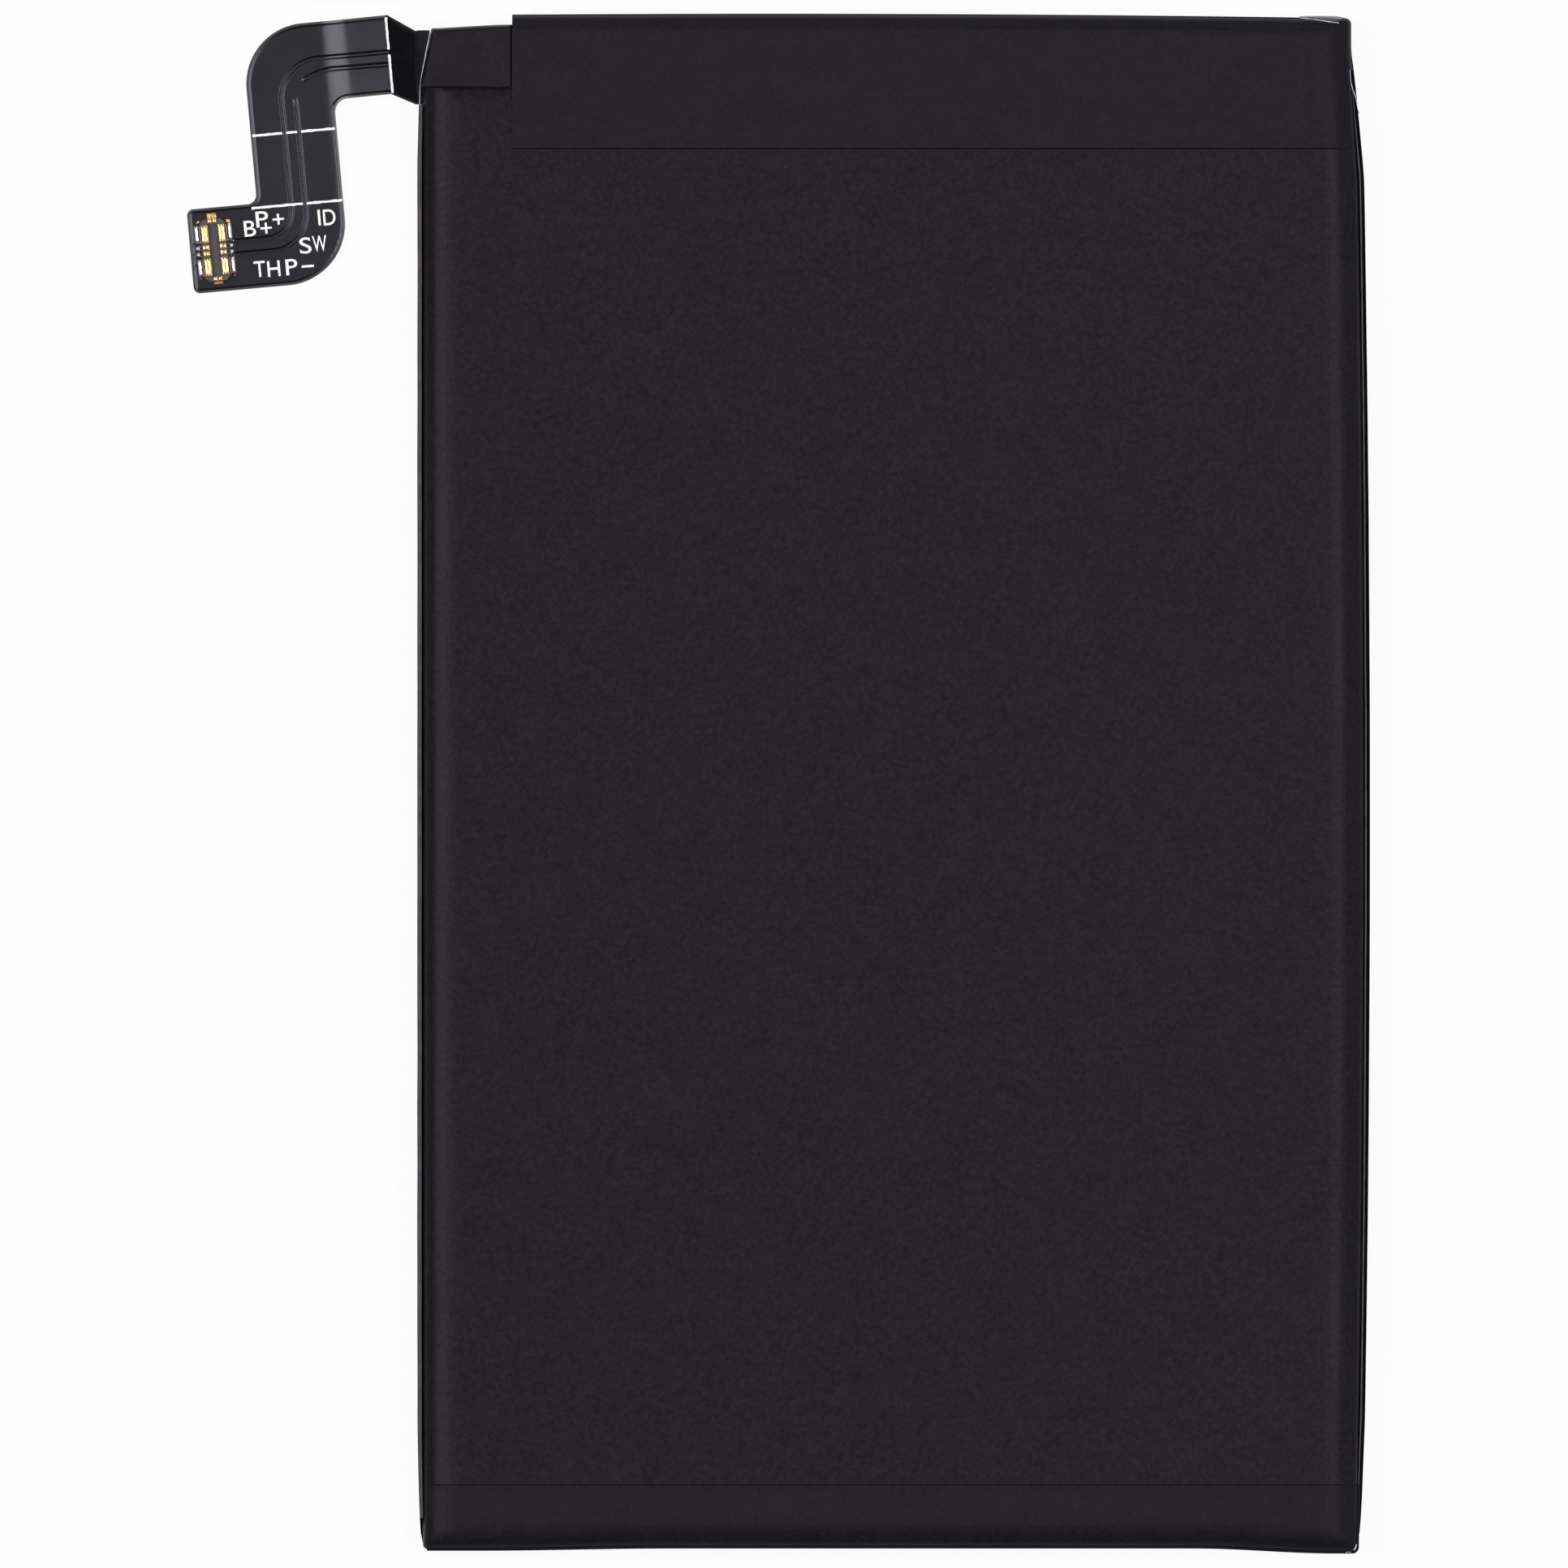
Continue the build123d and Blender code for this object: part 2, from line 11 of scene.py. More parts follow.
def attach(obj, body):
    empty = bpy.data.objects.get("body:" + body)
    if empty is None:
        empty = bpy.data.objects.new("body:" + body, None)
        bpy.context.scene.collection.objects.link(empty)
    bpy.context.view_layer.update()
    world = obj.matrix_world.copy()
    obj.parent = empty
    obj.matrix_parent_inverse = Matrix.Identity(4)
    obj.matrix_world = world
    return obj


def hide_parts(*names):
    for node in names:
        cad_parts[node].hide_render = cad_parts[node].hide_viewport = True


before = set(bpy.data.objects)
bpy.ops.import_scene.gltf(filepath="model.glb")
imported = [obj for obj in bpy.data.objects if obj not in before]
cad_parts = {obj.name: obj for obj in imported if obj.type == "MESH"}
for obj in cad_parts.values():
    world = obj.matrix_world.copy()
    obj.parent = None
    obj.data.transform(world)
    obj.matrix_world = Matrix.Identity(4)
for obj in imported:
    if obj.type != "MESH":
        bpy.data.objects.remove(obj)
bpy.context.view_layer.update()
print("frame loaded:", len(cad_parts), "nodes")

# Shapes are worked in millimetres and turned to metres when a piece is made.
mm = 0.001

# The pack's own form, as in the CAD: straight walls, and a face that rolls over into them
pack = {
    "halfWidth": 29.75,
    "bottomY": -48.3,
    "cellTopY": 44.7,
    "boardEndY": 48.5,
    "leftStepY": 47.6,
    "wallTop": 3.3,
    "drop": 1.5,
    "squareness": 2.6,
    "endShoulder": 1.9,
    "sideShoulder": 2.6,
    "corner": 0.3,
    "steps": 14,
    "lap": 0.11,
}


# Materials

def hexColour(code):
    parts = [int(code[i:i + 2], 16) / 255 for i in (1, 3, 5)]
    linear = [p / 12.92 if p <= 0.04045 else ((p + 0.055) / 1.055) ** 2.4 for p in parts]
    return (*linear, 1.0)


def addNode(tree, kind, inputs=None, **settings):
    made = tree.nodes.new(kind)
    for name, value in settings.items():
        setattr(made, name, value)
    for socket, value in (inputs or {}).items():
        if isinstance(value, bpy.types.NodeSocket):
            tree.links.new(value, made.inputs[socket])
        else:
            made.inputs[socket].default_value = value
    return made


def newMaterial(name, roughness, metallic=0.0, ior=1.5, specular=0.5, tint=None):
    made = bpy.data.materials.new(name)
    made.use_nodes = True
    tree = made.node_tree
    shader = tree.nodes["Principled BSDF"]
    shader.inputs["Roughness"].default_value = roughness
    shader.inputs["Metallic"].default_value = metallic
    if not metallic:
        shader.inputs["IOR"].default_value = ior
        shader.inputs["Specular IOR Level"].default_value = specular
    if tint:
        shader.inputs["Specular Tint"].default_value = hexColour(tint)
    place = addNode(tree, "ShaderNodeTexCoord").outputs["Object"]
    return made, tree, shader, place


# A noise whose grains are the given size in millimetres
def grain(tree, place, size, detail=2.0, distortion=0.0):
    made = addNode(tree, "ShaderNodeTexNoise", {
        "Vector": place, "Scale": 1 / (size * mm), "Detail": detail, "Distortion": distortion,
    })
    return made.outputs["Fac"]


def spread(tree, value, low, high, toLow, toHigh):
    made = addNode(tree, "ShaderNodeMapRange", {
        "Value": value, "From Min": low, "From Max": high, "To Min": toLow, "To Max": toHigh,
    })
    return made.outputs["Result"]


def blendColours(tree, factor, first, second):
    pair = [hexColour(c) if isinstance(c, str) else c for c in (first, second)]
    # sockets 6 and 7 are the two colours, and output 2 is the mixed one
    inputs = {"Factor": factor, 6: pair[0], 7: pair[1]}
    return addNode(tree, "ShaderNodeMix", inputs, data_type="RGBA").outputs[2]


def bump(tree, shader, height, depth, strength=1.0, under=None):
    inputs = {"Height": height, "Distance": depth * mm, "Strength": strength}
    if under:
        inputs["Normal"] = under
    made = addNode(tree, "ShaderNodeBump", inputs)
    tree.links.new(made.outputs["Normal"], shader.inputs["Normal"])
    return made.outputs["Normal"]


# Nylon-faced aluminium laminate, deep drawn: dark, satin, with a faint soft mottle
def pouchLaminate():
    made, tree, shader, place = newMaterial("drawn pouch laminate", 0.37, ior=1.45,
                                            specular=0.09, tint="#eee7ff")
    mottle = grain(tree, place, 2.4, 4)
    colour = blendColours(tree, spread(tree, mottle, 0.35, 0.65, 0, 1), "#151317", "#171518")
    fine = grain(tree, place, 0.26, 2)
    colour = blendColours(tree, spread(tree, fine, 0.35, 0.7, 0, 0.6), colour, "#252327")
    tree.links.new(colour, shader.inputs["Base Color"])
    rough = spread(tree, grain(tree, place, 6.0, 3), 0.3, 0.7, 0.35, 0.39)
    tree.links.new(rough, shader.inputs["Roughness"])
    under = bump(tree, shader, grain(tree, place, 0.9, 3), 0.0035)
    bump(tree, shader, grain(tree, place, 0.16, 2), 0.0012, under=under)
    return made


# Black polyester tape, calendered with a fine diagonal twill
def twillTape():
    made, tree, shader, place = newMaterial("black polyester tape", 0.41, ior=1.45,
                                            specular=0.09, tint="#eee7ff")
    angle = math.radians(-45)
    turned = addNode(tree, "ShaderNodeMapping", {"Vector": place, "Rotation": (0, 0, angle)})
    # real twill is about 0.08 mm, drawn a little coarser so that it shows
    pitch = 0.12 * mm
    twill = addNode(tree, "ShaderNodeTexWave", {
        "Vector": turned.outputs["Vector"], "Scale": 2 * math.pi / (20 * pitch),
        "Distortion": 0.8, "Detail": 2.0, "Detail Scale": 1.5,
    }, wave_type="BANDS", bands_direction="X")
    mottle = grain(tree, place, 1.6, 4)
    colour = blendColours(tree, spread(tree, mottle, 0.35, 0.65, 0, 1), "#141216", "#171519")
    ridges = spread(tree, twill.outputs["Fac"], 0.3, 0.9, 0, 0.25)
    colour = blendColours(tree, ridges, colour, "#28262a")
    fine = grain(tree, place, 0.26, 2)
    colour = blendColours(tree, spread(tree, fine, 0.35, 0.7, 0, 0.4), colour, "#252327")
    tree.links.new(colour, shader.inputs["Base Color"])
    under = bump(tree, shader, twill.outputs["Fac"], 0.002)
    bump(tree, shader, grain(tree, place, 0.3, 3), 0.003, under=under)
    return made


# One mottle in the colour, with its grain size in millimetres and the band of the noise that
# the colours cover, and one finer grain in the surface
def plainFinish(name, dark, light, roughness, metallic=0.0, grainSize=0.5, depth=0.004,
                detail=3, band=(0.3, 0.7), bumpSize=None, bumpDetail=2, **shine):
    made, tree, shader, place = newMaterial(name, roughness, metallic, **shine)
    tone = spread(tree, grain(tree, place, grainSize, detail), *band, 0, 1)
    tree.links.new(blendColours(tree, tone, dark, light), shader.inputs["Base Color"])
    bump(tree, shader, grain(tree, place, bumpSize or grainSize / 3, bumpDetail), depth)
    return made


# A matt near-black film with little gloss even at a low angle, for the painted shade on the seals'
# sides and the tapes' shoulders
def shadeFilm(name, dark, light, specular):
    return plainFinish(name, dark, light, 0.8, grainSize=0.9, depth=0.01, band=(0.35, 0.65),
                       bumpSize=0.25, bumpDetail=3, specular=specular)


finishes = {
    "pouch": pouchLaminate(),
    # the laminate's cut edge: a grey metal core between two dark films
    "edge": plainFinish("cut laminate edge", "#252021", "#3a3433", 0.5, grainSize=0.8, depth=0.01,
                        detail=4, band=(0.35, 0.65), bumpSize=0.12, bumpDetail=3, ior=1.45),
    # painted shade: the seals' sides near black and without gloss, as they stand in shade
    "sealSideShade": shadeFilm("seal sides in painted shade", "#0c0b0c", "#131113", 0.0),
    "tape": twillTape(),
    # painted shade: a duller, darker copy of the tape for its steep shoulders, in place of their
    # grazing sheen
    "shoulderShade": shadeFilm("tape shoulders in painted shade", "#151316", "#19171a", 0.03),
    # black cover film over copper: smooth and near black, with a fine pressed grain
    "film": plainFinish("black polyimide cover film", "#060507", "#0a090b", 0.25, grainSize=1.1,
                        depth=0.002, detail=4, band=(0.35, 0.65), bumpSize=0.22, bumpDetail=3,
                        ior=1.5, specular=0.37, tint="#eee9fc"),
    # the margin past the copper, where the amber base film shows through the black one
    "border": plainFinish("polyimide film margin", "#1c1715", "#2b2422", 0.3, depth=0.002),
    # folded film, where the bare polyester is smooth and glossy
    "crease": plainFinish("creased polyester film", "#1b191c", "#2c282a", 0.2, grainSize=0.6,
                          depth=0.01, band=(0.35, 0.65), bumpSize=0.3, ior=1.6),
    # painted highlight: pale, glossy bars along hard creases stand in for their glints
    "creaseGlint": plainFinish("crease glints, painted highlight", "#8f93a8", "#e4e8f6", 0.25,
                            depth=0.006, band=(0.35, 0.6), bumpSize=0.2, ior=1.6),
    # white epoxy ink, a little broken where the mesh printed it
    "ink": plainFinish("white screen ink", "#e2e2e0", "#fdfdfb", 0.55, grainSize=0.16,
                       detail=2, band=(0.3, 0.45), bumpSize=0.08),
    # hard gold over nickel, stamped: warm, satin, with rolling marks
    "gold": plainFinish("gold plated copper alloy", "#d8a566", "#f2cf9a", 0.24, 1.0, 0.25, 0.002,
                        bumpSize=0.05),
    # glass-filled moulding: dark grey with pale glass flecks
    "housing": plainFinish("moulded liquid crystal polymer", "#26262b", "#4a4a50", 0.4,
                           grainSize=0.07, detail=2, band=(0.55, 0.75), bumpSize=0.12),
    # reflowed tin alloy: bright, with soft dimples
    "solder": plainFinish("reflowed tin solder", "#dfe4f0", "#ffffff", 0.34, 1.0, 0.4, 0.003),
    # dried rosin flux: clear amber varnish over dark film
    "flux": plainFinish("dried rosin flux", "#3a1a08", "#6a3410", 0.12, 0.0, 0.3, 0.01),
    # cold rolled stainless sheet
    "stainless": plainFinish("rolled stainless steel", "#8f9094", "#b4b5b8", 0.32, 1.0, 0.4),
    # nickel strip
    "nickel": plainFinish("rolled nickel strip", "#a9a294", "#c9c3b5", 0.35, 1.0, 0.4),
    # soft aluminium strip
    "aluminium": plainFinish("rolled aluminium strip", "#c3c4c6", "#dcdcde", 0.35, 1.0, 0.4),
    # closed-cell foam with an open skin
    "foam": plainFinish("closed-cell black foam", "#121212", "#222222", 0.85, 0.0, 0.3, 0.05),
    # matte moulded polycarbonate
    "carrier": plainFinish("moulded black polycarbonate", "#141415", "#1c1c1e", 0.5, 0.0, 0.6),
    # glass-epoxy laminate under green solder mask
    "board": plainFinish("green solder mask", "#0b2a1c", "#123a28", 0.3, 0.0, 0.8),
    # moulded epoxy packages
    "chip": plainFinish("moulded chip epoxy", "#161617", "#202022", 0.5, 0.0, 0.3),
    # fired ceramic chip parts
    "ceramic": plainFinish("fired chip ceramic", "#6f5a45", "#8d7459", 0.45, 0.0, 0.3),
    # modified polypropylene film on the tabs
    "tabFilm": plainFinish("polypropylene tab film", "#a7a69f", "#c6c5be", 0.35, 0.0, 0.5),
}

# the nodes of each finish; the others are gold
nodesOf = {
    "pouch": ["pouch_cell"],
    "tape": ["top_tape", "bottom_tape", "corner_tape", "flex_sleeve"],
    "foam": ["foam_spacer", "carrier_strip"],
    "carrier": ["board_carrier"],
    "board": ["protection_board"],
    "chip": ["switch_transistors", "protection_ic", "cell_fuse"],
    "ceramic": ["thermistor", "chip_resistors", "chip_capacitors"],
    "nickel": ["weld_plate_positive", "weld_plate_negative", "negative_tab"],
    "aluminium": ["positive_tab"],
    "tabFilm": ["tab_seal_positive", "tab_seal_negative"],
    "film": ["flex_circuit"],
    "stainless": ["connector_stiffener"],
    "housing": ["connector_housing"],
    "solder": ["solder_joints"],
}
for name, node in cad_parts.items():
    finish = next((key for key, names in nodesOf.items() if name in names), "gold")
    node.data.materials.clear()
    node.data.materials.append(finishes[finish])
print("materials made:", len(finishes))


# Making pieces

def setPiece(bm, name, finish, slot, replaced=(), sharp=40, others=()):
    bmesh.ops.scale(bm, vec=(mm, mm, mm), verts=bm.verts)
    mesh = bpy.data.meshes.new(name)
    bm.to_mesh(mesh)
    bm.free()
    piece = bpy.data.objects.new(name, mesh)
    bpy.context.collection.objects.link(piece)
    for used in (finish, *others):
        mesh.materials.append(finishes[used])
    mesh.polygons.foreach_set("use_smooth", [True] * len(mesh.polygons))
    mesh.set_sharp_from_angle(angle=math.radians(sharp))
    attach(piece, "root")
    if replaced:
        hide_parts(*replaced)
    return piece


def cutAt(bm, point, normal, clearOuter=False):
    geometry = bm.verts[:] + bm.edges[:] + bm.faces[:]
    bmesh.ops.bisect_plane(bm, geom=geometry, plane_co=point, plane_no=normal,
                           clear_outer=clearOuter)


def cutGrid(bm, xLines=(), yLines=()):
    for x in xLines:
        cutAt(bm, (x, 0, 0), (1, 0, 0))
    for y in yLines:
        cutAt(bm, (0, y, 0), (0, 1, 0))


def addBox(bm, size, middle):
    made = bmesh.ops.create_cube(bm, size=1)["verts"]
    bmesh.ops.scale(bm, vec=size, verts=made)
    bmesh.ops.translate(bm, vec=middle, verts=made)


def steps(low, high, size):
    count = max(1, round((high - low) / size))
    return [low + (high - low) * i / count for i in range(count + 1)]


# The pack isn't square: its right side is bowed and draws in towards the board end, the board
# end is bowed a little, and the folded corners push the plain end out
bow = {
    "sideStartX": 29.32,
    "sideRise": 0.1,
    "sideBulge": 1.66,
    "sideLength": 86.3,
    "sideReach": (12, 26),
    "drawFromX": 29.42,
    "drawFromY": 38,
    "drawSlope": 0.07,
    "drawnX": 28.84,
    "endMiddleX": -7.7,
    "endCurve": 0.000213,
    "endReach": (46.5, 48),
    "plainReach": (45, 47.8),
    "plainPush": 0.04,
    "rightPush": 0.32,
    "rightFold": (19, 28),
    "leftPush": 0.14,
    "leftFold": (14, 26),
}


def rightEdge(y):
    along = (y - pack["bottomY"]) / bow["sideLength"]
    if y < bow["drawFromY"]:
        bulge = bow["sideBulge"] * along * (1 - along)
        return bow["sideStartX"] + bow["sideRise"] * along + bulge
    return max(bow["drawnX"], bow["drawFromX"] - bow["drawSlope"] * (y - bow["drawFromY"]))


def ease(value, low, high):
    t = min(1, max(0, (value - low) / (high - low)))
    return t * t * (3 - 2 * t)


def bowSide(bm):
    for vert in bm.verts:
        if vert.co.x > 0:
            share = ease(vert.co.x, *bow["sideReach"])
            vert.co.x -= (pack["halfWidth"] - rightEdge(vert.co.y)) * share


def bowEnds(bm):
    for vert in bm.verts:
        x, y = vert.co.x, vert.co.y
        sag = bow["endCurve"] * (x - bow["endMiddleX"]) ** 2
        push = bow["plainPush"] + bow["rightPush"] * ease(x, *bow["rightFold"])
        push += bow["leftPush"] * ease(-x, *bow["leftFold"])
        vert.co.y -= sag * ease(y, *bow["endReach"]) + push * ease(-y, *bow["plainReach"])


# A long slow waviness that the pouch and the tapes on it share: its heights and spans
wave = {
    "slow": 0.02,
    "slowX": 17,
    "slowY": 23,
    "quick": 0.006,
    "quickX": 6,
    "quickY": 7,
    "sink": 0.02,
}


def faceWave(x, y):
    slow = noise.noise(Vector((x / wave["slowX"], y / wave["slowY"], 3.1)))
    quick = noise.noise(Vector((x / wave["quickX"], y / wave["quickY"], 8.4)))
    return wave["slow"] * slow + wave["quick"] * quick


def waveFace(bm):
    for vert in bm.verts:
        lift = ease(vert.co.z, pack["wallTop"], pack["wallTop"] + pack["drop"])
        if lift:
            vert.co.z += (faceWave(vert.co.x, vert.co.y) - wave["sink"]) * lift


def shapeLikePack(bm):
    bowSide(bm)
    bowEnds(bm)
    waveFace(bm)


# The pack's pillow, grown outwards by a tape's thickness, with superellipse shoulders
def pillow(topY, grow=0.0, endShoulder=pack["endShoulder"], sideShoulder=pack["sideShoulder"],
           corner=pack["corner"]):
    bm = bmesh.new()
    halfX = pack["halfWidth"] + grow
    halfY = (topY - pack["bottomY"]) / 2 + grow
    middleY = (topY + pack["bottomY"]) / 2
    bmesh.ops.create_cube(bm, size=1)
    bmesh.ops.scale(bm, vec=(2 * halfX, 2 * halfY, pack["wallTop"]), verts=bm.verts)
    upright = [e for e in bm.edges if abs(e.verts[0].co.z - e.verts[1].co.z) > 1]
    bmesh.ops.bevel(bm, geom=upright, offset=corner + grow, segments=6, profile=0.5,
                    affect="EDGES", material=-1)
    top = max(bm.faces, key=lambda f: f.calc_center_median().z)
    drop = pack["drop"] + grow
    spanX, spanY, height = halfX, halfY, 0.0
    for step in range(1, pack["steps"] + 1):
        angle = math.pi / 2 * step / pack["steps"]
        made = bmesh.ops.extrude_face_region(bm, geom=[top])["geom"]
        if top.is_valid:
            bmesh.ops.delete(bm, geom=[top], context="FACES_ONLY")
        top = next(g for g in made if isinstance(g, bmesh.types.BMFace))
        moved = [g for g in made if isinstance(g, bmesh.types.BMVert)]
        inward = 1 - max(0, math.cos(angle)) ** (2 / pack["squareness"])
        newX = halfX - sideShoulder * inward
        newY = halfY - endShoulder * inward
        newHeight = drop * math.sin(angle) ** (2 / pack["squareness"])
        bmesh.ops.scale(bm, vec=(newX / spanX, newY / spanY, 1), verts=moved)
        bmesh.ops.translate(bm, vec=(0, 0, newHeight - height), verts=moved)
        spanX, spanY, height = newX, newY, newHeight
    bmesh.ops.translate(bm, vec=(0, middleY, pack["wallTop"] / 2), verts=bm.verts)
    return bm


# The height of the pouch's face at a distance from its middle, out over the shoulder
def shoulderHeight(x):
    reach, power = pack["sideShoulder"], pack["squareness"]
    out = min(1, max(0, (abs(x) - pack["halfWidth"] + reach) / reach))
    return pack["wallTop"] + pack["drop"] * (1 - out ** power) ** (1 / power)


def keepRegion(bm, xFrom=None, xTo=None, yFrom=None, yTo=None):
    limits = (xFrom, (-1, 0, 0)), (xTo, (1, 0, 0)), (yFrom, (0, -1, 0)), (yTo, (0, 1, 0))
    for place, normal in limits:
        if place is not None:
            cutAt(bm, [abs(n) * place for n in normal], normal, clearOuter=True)


def thicken(piece, thickness, edge=0.04):
    solid = piece.modifiers.new("thickness", "SOLIDIFY")
    solid.thickness = thickness * mm
    solid.offset = -1
    solid.use_even_offset = True
    if edge:
        soft = piece.modifiers.new("edge", "BEVEL")
        soft.width = edge * mm
        soft.segments = 3
        soft.limit_method = "ANGLE"
        soft.angle_limit = math.radians(60)
    return piece


# The formed pouch, with its back drawn in where the tapes lap onto it, and its terrace
pouch = {
    "grid": 1.5,
    "boardLine": 40,
    "plainLine": -44.35,
    "lapLines": (39.95, 40.05, -44.4, -44.3),
    "terraceSize": (56.4, 3.6, 0.36),
    "terracePlace": (0, 45.5, 0.28),
}


def makePouch():
    bm = pillow(pack["cellTopY"])
    cutGrid(bm, steps(-29, 29, pouch["grid"]), steps(-47.5, 44, pouch["grid"]))
    cutGrid(bm, (), pouch["lapLines"])
    for vert in bm.verts:
        underTape = vert.co.y > pouch["boardLine"] or vert.co.y < pouch["plainLine"]
        if vert.co.z < 0.01 and underTape:
            vert.co.z = pack["lap"]
    shapeLikePack(bm)
    addBox(bm, pouch["terraceSize"], pouch["terracePlace"])
    return setPiece(bm, "formedPouch", "pouch", "pouch_foil", ["pouch_cell"])


# A value read from stations of (place, value), in straight runs between them
def follow(stations, place):
    for (first, low), (second, high) in zip(stations, stations[1:]):
        if (place - first) * (place - second) <= 0:
            return low + (high - low) * (place - first) / (second - first)
    return min(stations[0], stations[-1], key=lambda station: abs(place - station[0]))[1]


# The two side seals, folded up against the walls. The right one is folded harder, so that it
# leans on the wall and its edge is thin
seals = {
    "left": {"gap": 0.08, "thickness": 0.27, "topY": 42.85, "rootTopY": 44.6},
    "right": {"gap": 0.03, "thickness": 0.33, "topY": 46.6, "rootTopY": 46.6, "lean": 0.235},
    "low": 0.05,
    "top": 3.8,
    "rootTop": 2.6,
    "rootLap": 0.1,
    "levels": (0.5, 1.2, 2.0, 2.5, 2.8, 3.1, 3.4, 3.75),
    "leanReach": (2.3, 3.9),
    "wander": 0.02,
    "topWander": 0.03,
    "bottomY": -48.25,
    # past the cut edge's end the seal is pressed down and in
    "cutEndY": -46.5,
    "pressedY": -47.2,
    "press": 0.75,
    "innerDraw": 0.55,
    # how far the outer side draws in at the plain end and at the board end
    "draw": [(-48.3, 0.4), (-48.0, 0.32), (-47.4, 0.2), (-46.5, 0.15), (-45.2, 0.1),
             (-42.9, 0.05), (-40.3, 0.0), (39.2, 0.0), (43.3, 0.1), (45.3, 0.18), (46.7, 0.27)],
}


def makeSeal(name, side):
    own = seals["left"] if side < 0 else seals["right"]
    bm = bmesh.new()
    inner = pack["halfWidth"] + own["gap"]
    # the upright flange, and the folded root that closes the gap under it
    for width, low, high, middleX, topY in (
        (own["thickness"], seals["low"], seals["top"], inner + own["thickness"] / 2, own["topY"]),
        (own["gap"] + seals["rootLap"], seals["low"], seals["rootTop"], inner - own["gap"] / 2,
         own["rootTopY"]),
    ):
        middle = (side * middleX, (topY + seals["bottomY"]) / 2, (high + low) / 2)
        addBox(bm, (width, topY - seals["bottomY"], high - low), middle)
    cutGrid(bm, (), steps(seals["bottomY"], seals["cutEndY"], 0.25))
    cutGrid(bm, (), steps(seals["cutEndY"], own["rootTopY"], 0.6))
    for z in seals["levels"]:
        cutAt(bm, (0, 0, z), (0, 0, 1))
    middle = inner + own["thickness"] / 2
    for vert in bm.verts:
        height = ease(vert.co.z, *seals["leanReach"])
        outer = abs(vert.co.x) > middle
        flange = abs(vert.co.x) > inner - 0.01
        loose = ease(vert.co.z, 0.5, seals["top"])
        vert.co.x += seals["wander"] * noise.noise(Vector((side * 5, vert.co.y / 5, 1.7))) * loose
        if vert.co.z > seals["top"] - 0.02:
            wander = noise.noise(Vector((side, vert.co.y / 1.3, 6.2)))
            vert.co.z += seals["topWander"] * wander - 0.02
        past = ease(-vert.co.y, -seals["cutEndY"], -seals["pressedY"])
        if flange:
            vert.co.z -= seals["press"] * past * vert.co.z / seals["top"]
            share = 1.0 if outer else seals["innerDraw"]
            vert.co.x -= side * follow(seals["draw"], vert.co.y) * share
        if side > 0:
            vert.co.x -= pack["halfWidth"] - rightEdge(vert.co.y)
            lean = own["lean"] if outer else 0
            vert.co.x = max(vert.co.x - lean * height, rightEdge(vert.co.y) - 0.02)
    # the cut top edge takes the laminate's edge colour, the left seal's outer side the pouch's
    # laminate, and every other side is painted shade
    for face in bm.faces:
        face.normal_update()
        middleY, middleZ = face.calc_center_median().y, face.calc_center_median().z
        cut = face.normal.z > 0.8 and middleZ > 3 and middleY > seals["cutEndY"]
        outside = side < 0 and face.normal.x * side > 0.8
        face.material_index = 1 if cut else 0 if outside else 2
    return setPiece(bm, name, "pouch", "pouch_foil", ["pouch_cell"], sharp=30,
                    others=["edge", "sealSideShade"])


makePouch()
makeSeal("leftSeal", -1)
makeSeal("rightSeal", 1)
print("pouch made")

# The tapes
tapes = {
    "thickness": 0.1,
    "topLeft": -24.1,
    "topRight": 28.84,
    "topLower": 40.0,
    "bottomLine": -44.35,
    "bottomLeft": -29.5,
    "cornerThickness": 0.08,
    "cornerLower": 43.9,
    "boardShoulder": 1.25,
    "stepShoulder": 0.3,
    "cornerShoulder": 0.3,
    "stepSlant": 0.23,
    "edgeRun": 0.09,
    "edgeDrop": 0.09,
    "edgeStep": 0.03,
    "edgeReach": 0.6,
    "rim": 0.006,
    "rimPlace": 0.2,
    "rimSpread": 0.08,
    "dullBoardEnd": 0.3,
    "dullPlainEnd": 0.6,
}


# Close cuts along a tape's edge, on the side that the tape lies
def edgeLines(line, side, count=10):
    return [line + side * i * tapes["edgeStep"] for i in range(1, count + 1)]


# A tape's edge: a low rim, then down onto what is under it
def pressEdge(bm, line, side):
    for vert in bm.verts:
        inside = (vert.co.y - line) * side
        if inside < tapes["edgeReach"] and vert.co.z > pack["wallTop"]:
            off = (inside - tapes["rimPlace"]) / tapes["rimSpread"]
            drop = tapes["edgeDrop"] * (1 - ease(inside, 0, tapes["edgeRun"]))
            vert.co.z += tapes["rim"] * math.exp(-off ** 2) - drop


# A tape's steep shoulder gets the duller, darker copy of the tape: painted shade in place of its
# grazing sheen
def paintShoulderShade(bm, below):
    for face in bm.faces:
        face.normal_update()
        face.material_index = 1 if 0.02 < face.normal.z < below else 0


def makeTopTape():
    bm = pillow(pack["boardEndY"], tapes["thickness"], tapes["boardShoulder"])
    keepRegion(bm, xFrom=tapes["topLeft"], yFrom=tapes["topLower"])
    cutGrid(bm, steps(-24, 29, 1.0), edgeLines(tapes["topLower"], 1) + steps(40.6, 48, 0.75))
    shapeLikePack(bm)
    pressEdge(bm, tapes["topLower"], 1)
    middles = {face: face.calc_center_median() for face in bm.faces}
    cut = [face for face, middle in middles.items()
           if middle.x > tapes["topRight"] and middle.y < pack["cellTopY"]]
    bmesh.ops.delete(bm, geom=cut, context="FACES")
    paintShoulderShade(bm, tapes["dullBoardEnd"])
    piece = setPiece(bm, "boardEndTape", "tape", "black_tape", ["top_tape"], others=["shoulderShade"])
    return thicken(piece, tapes["thickness"])


# The foam under the wide tape, which fills the pack's form above the board
foam = {
    "gap": 0.03,
    "low": 3.31,
    "leftX": -24.0,
    "lowerY": 44.86,
}


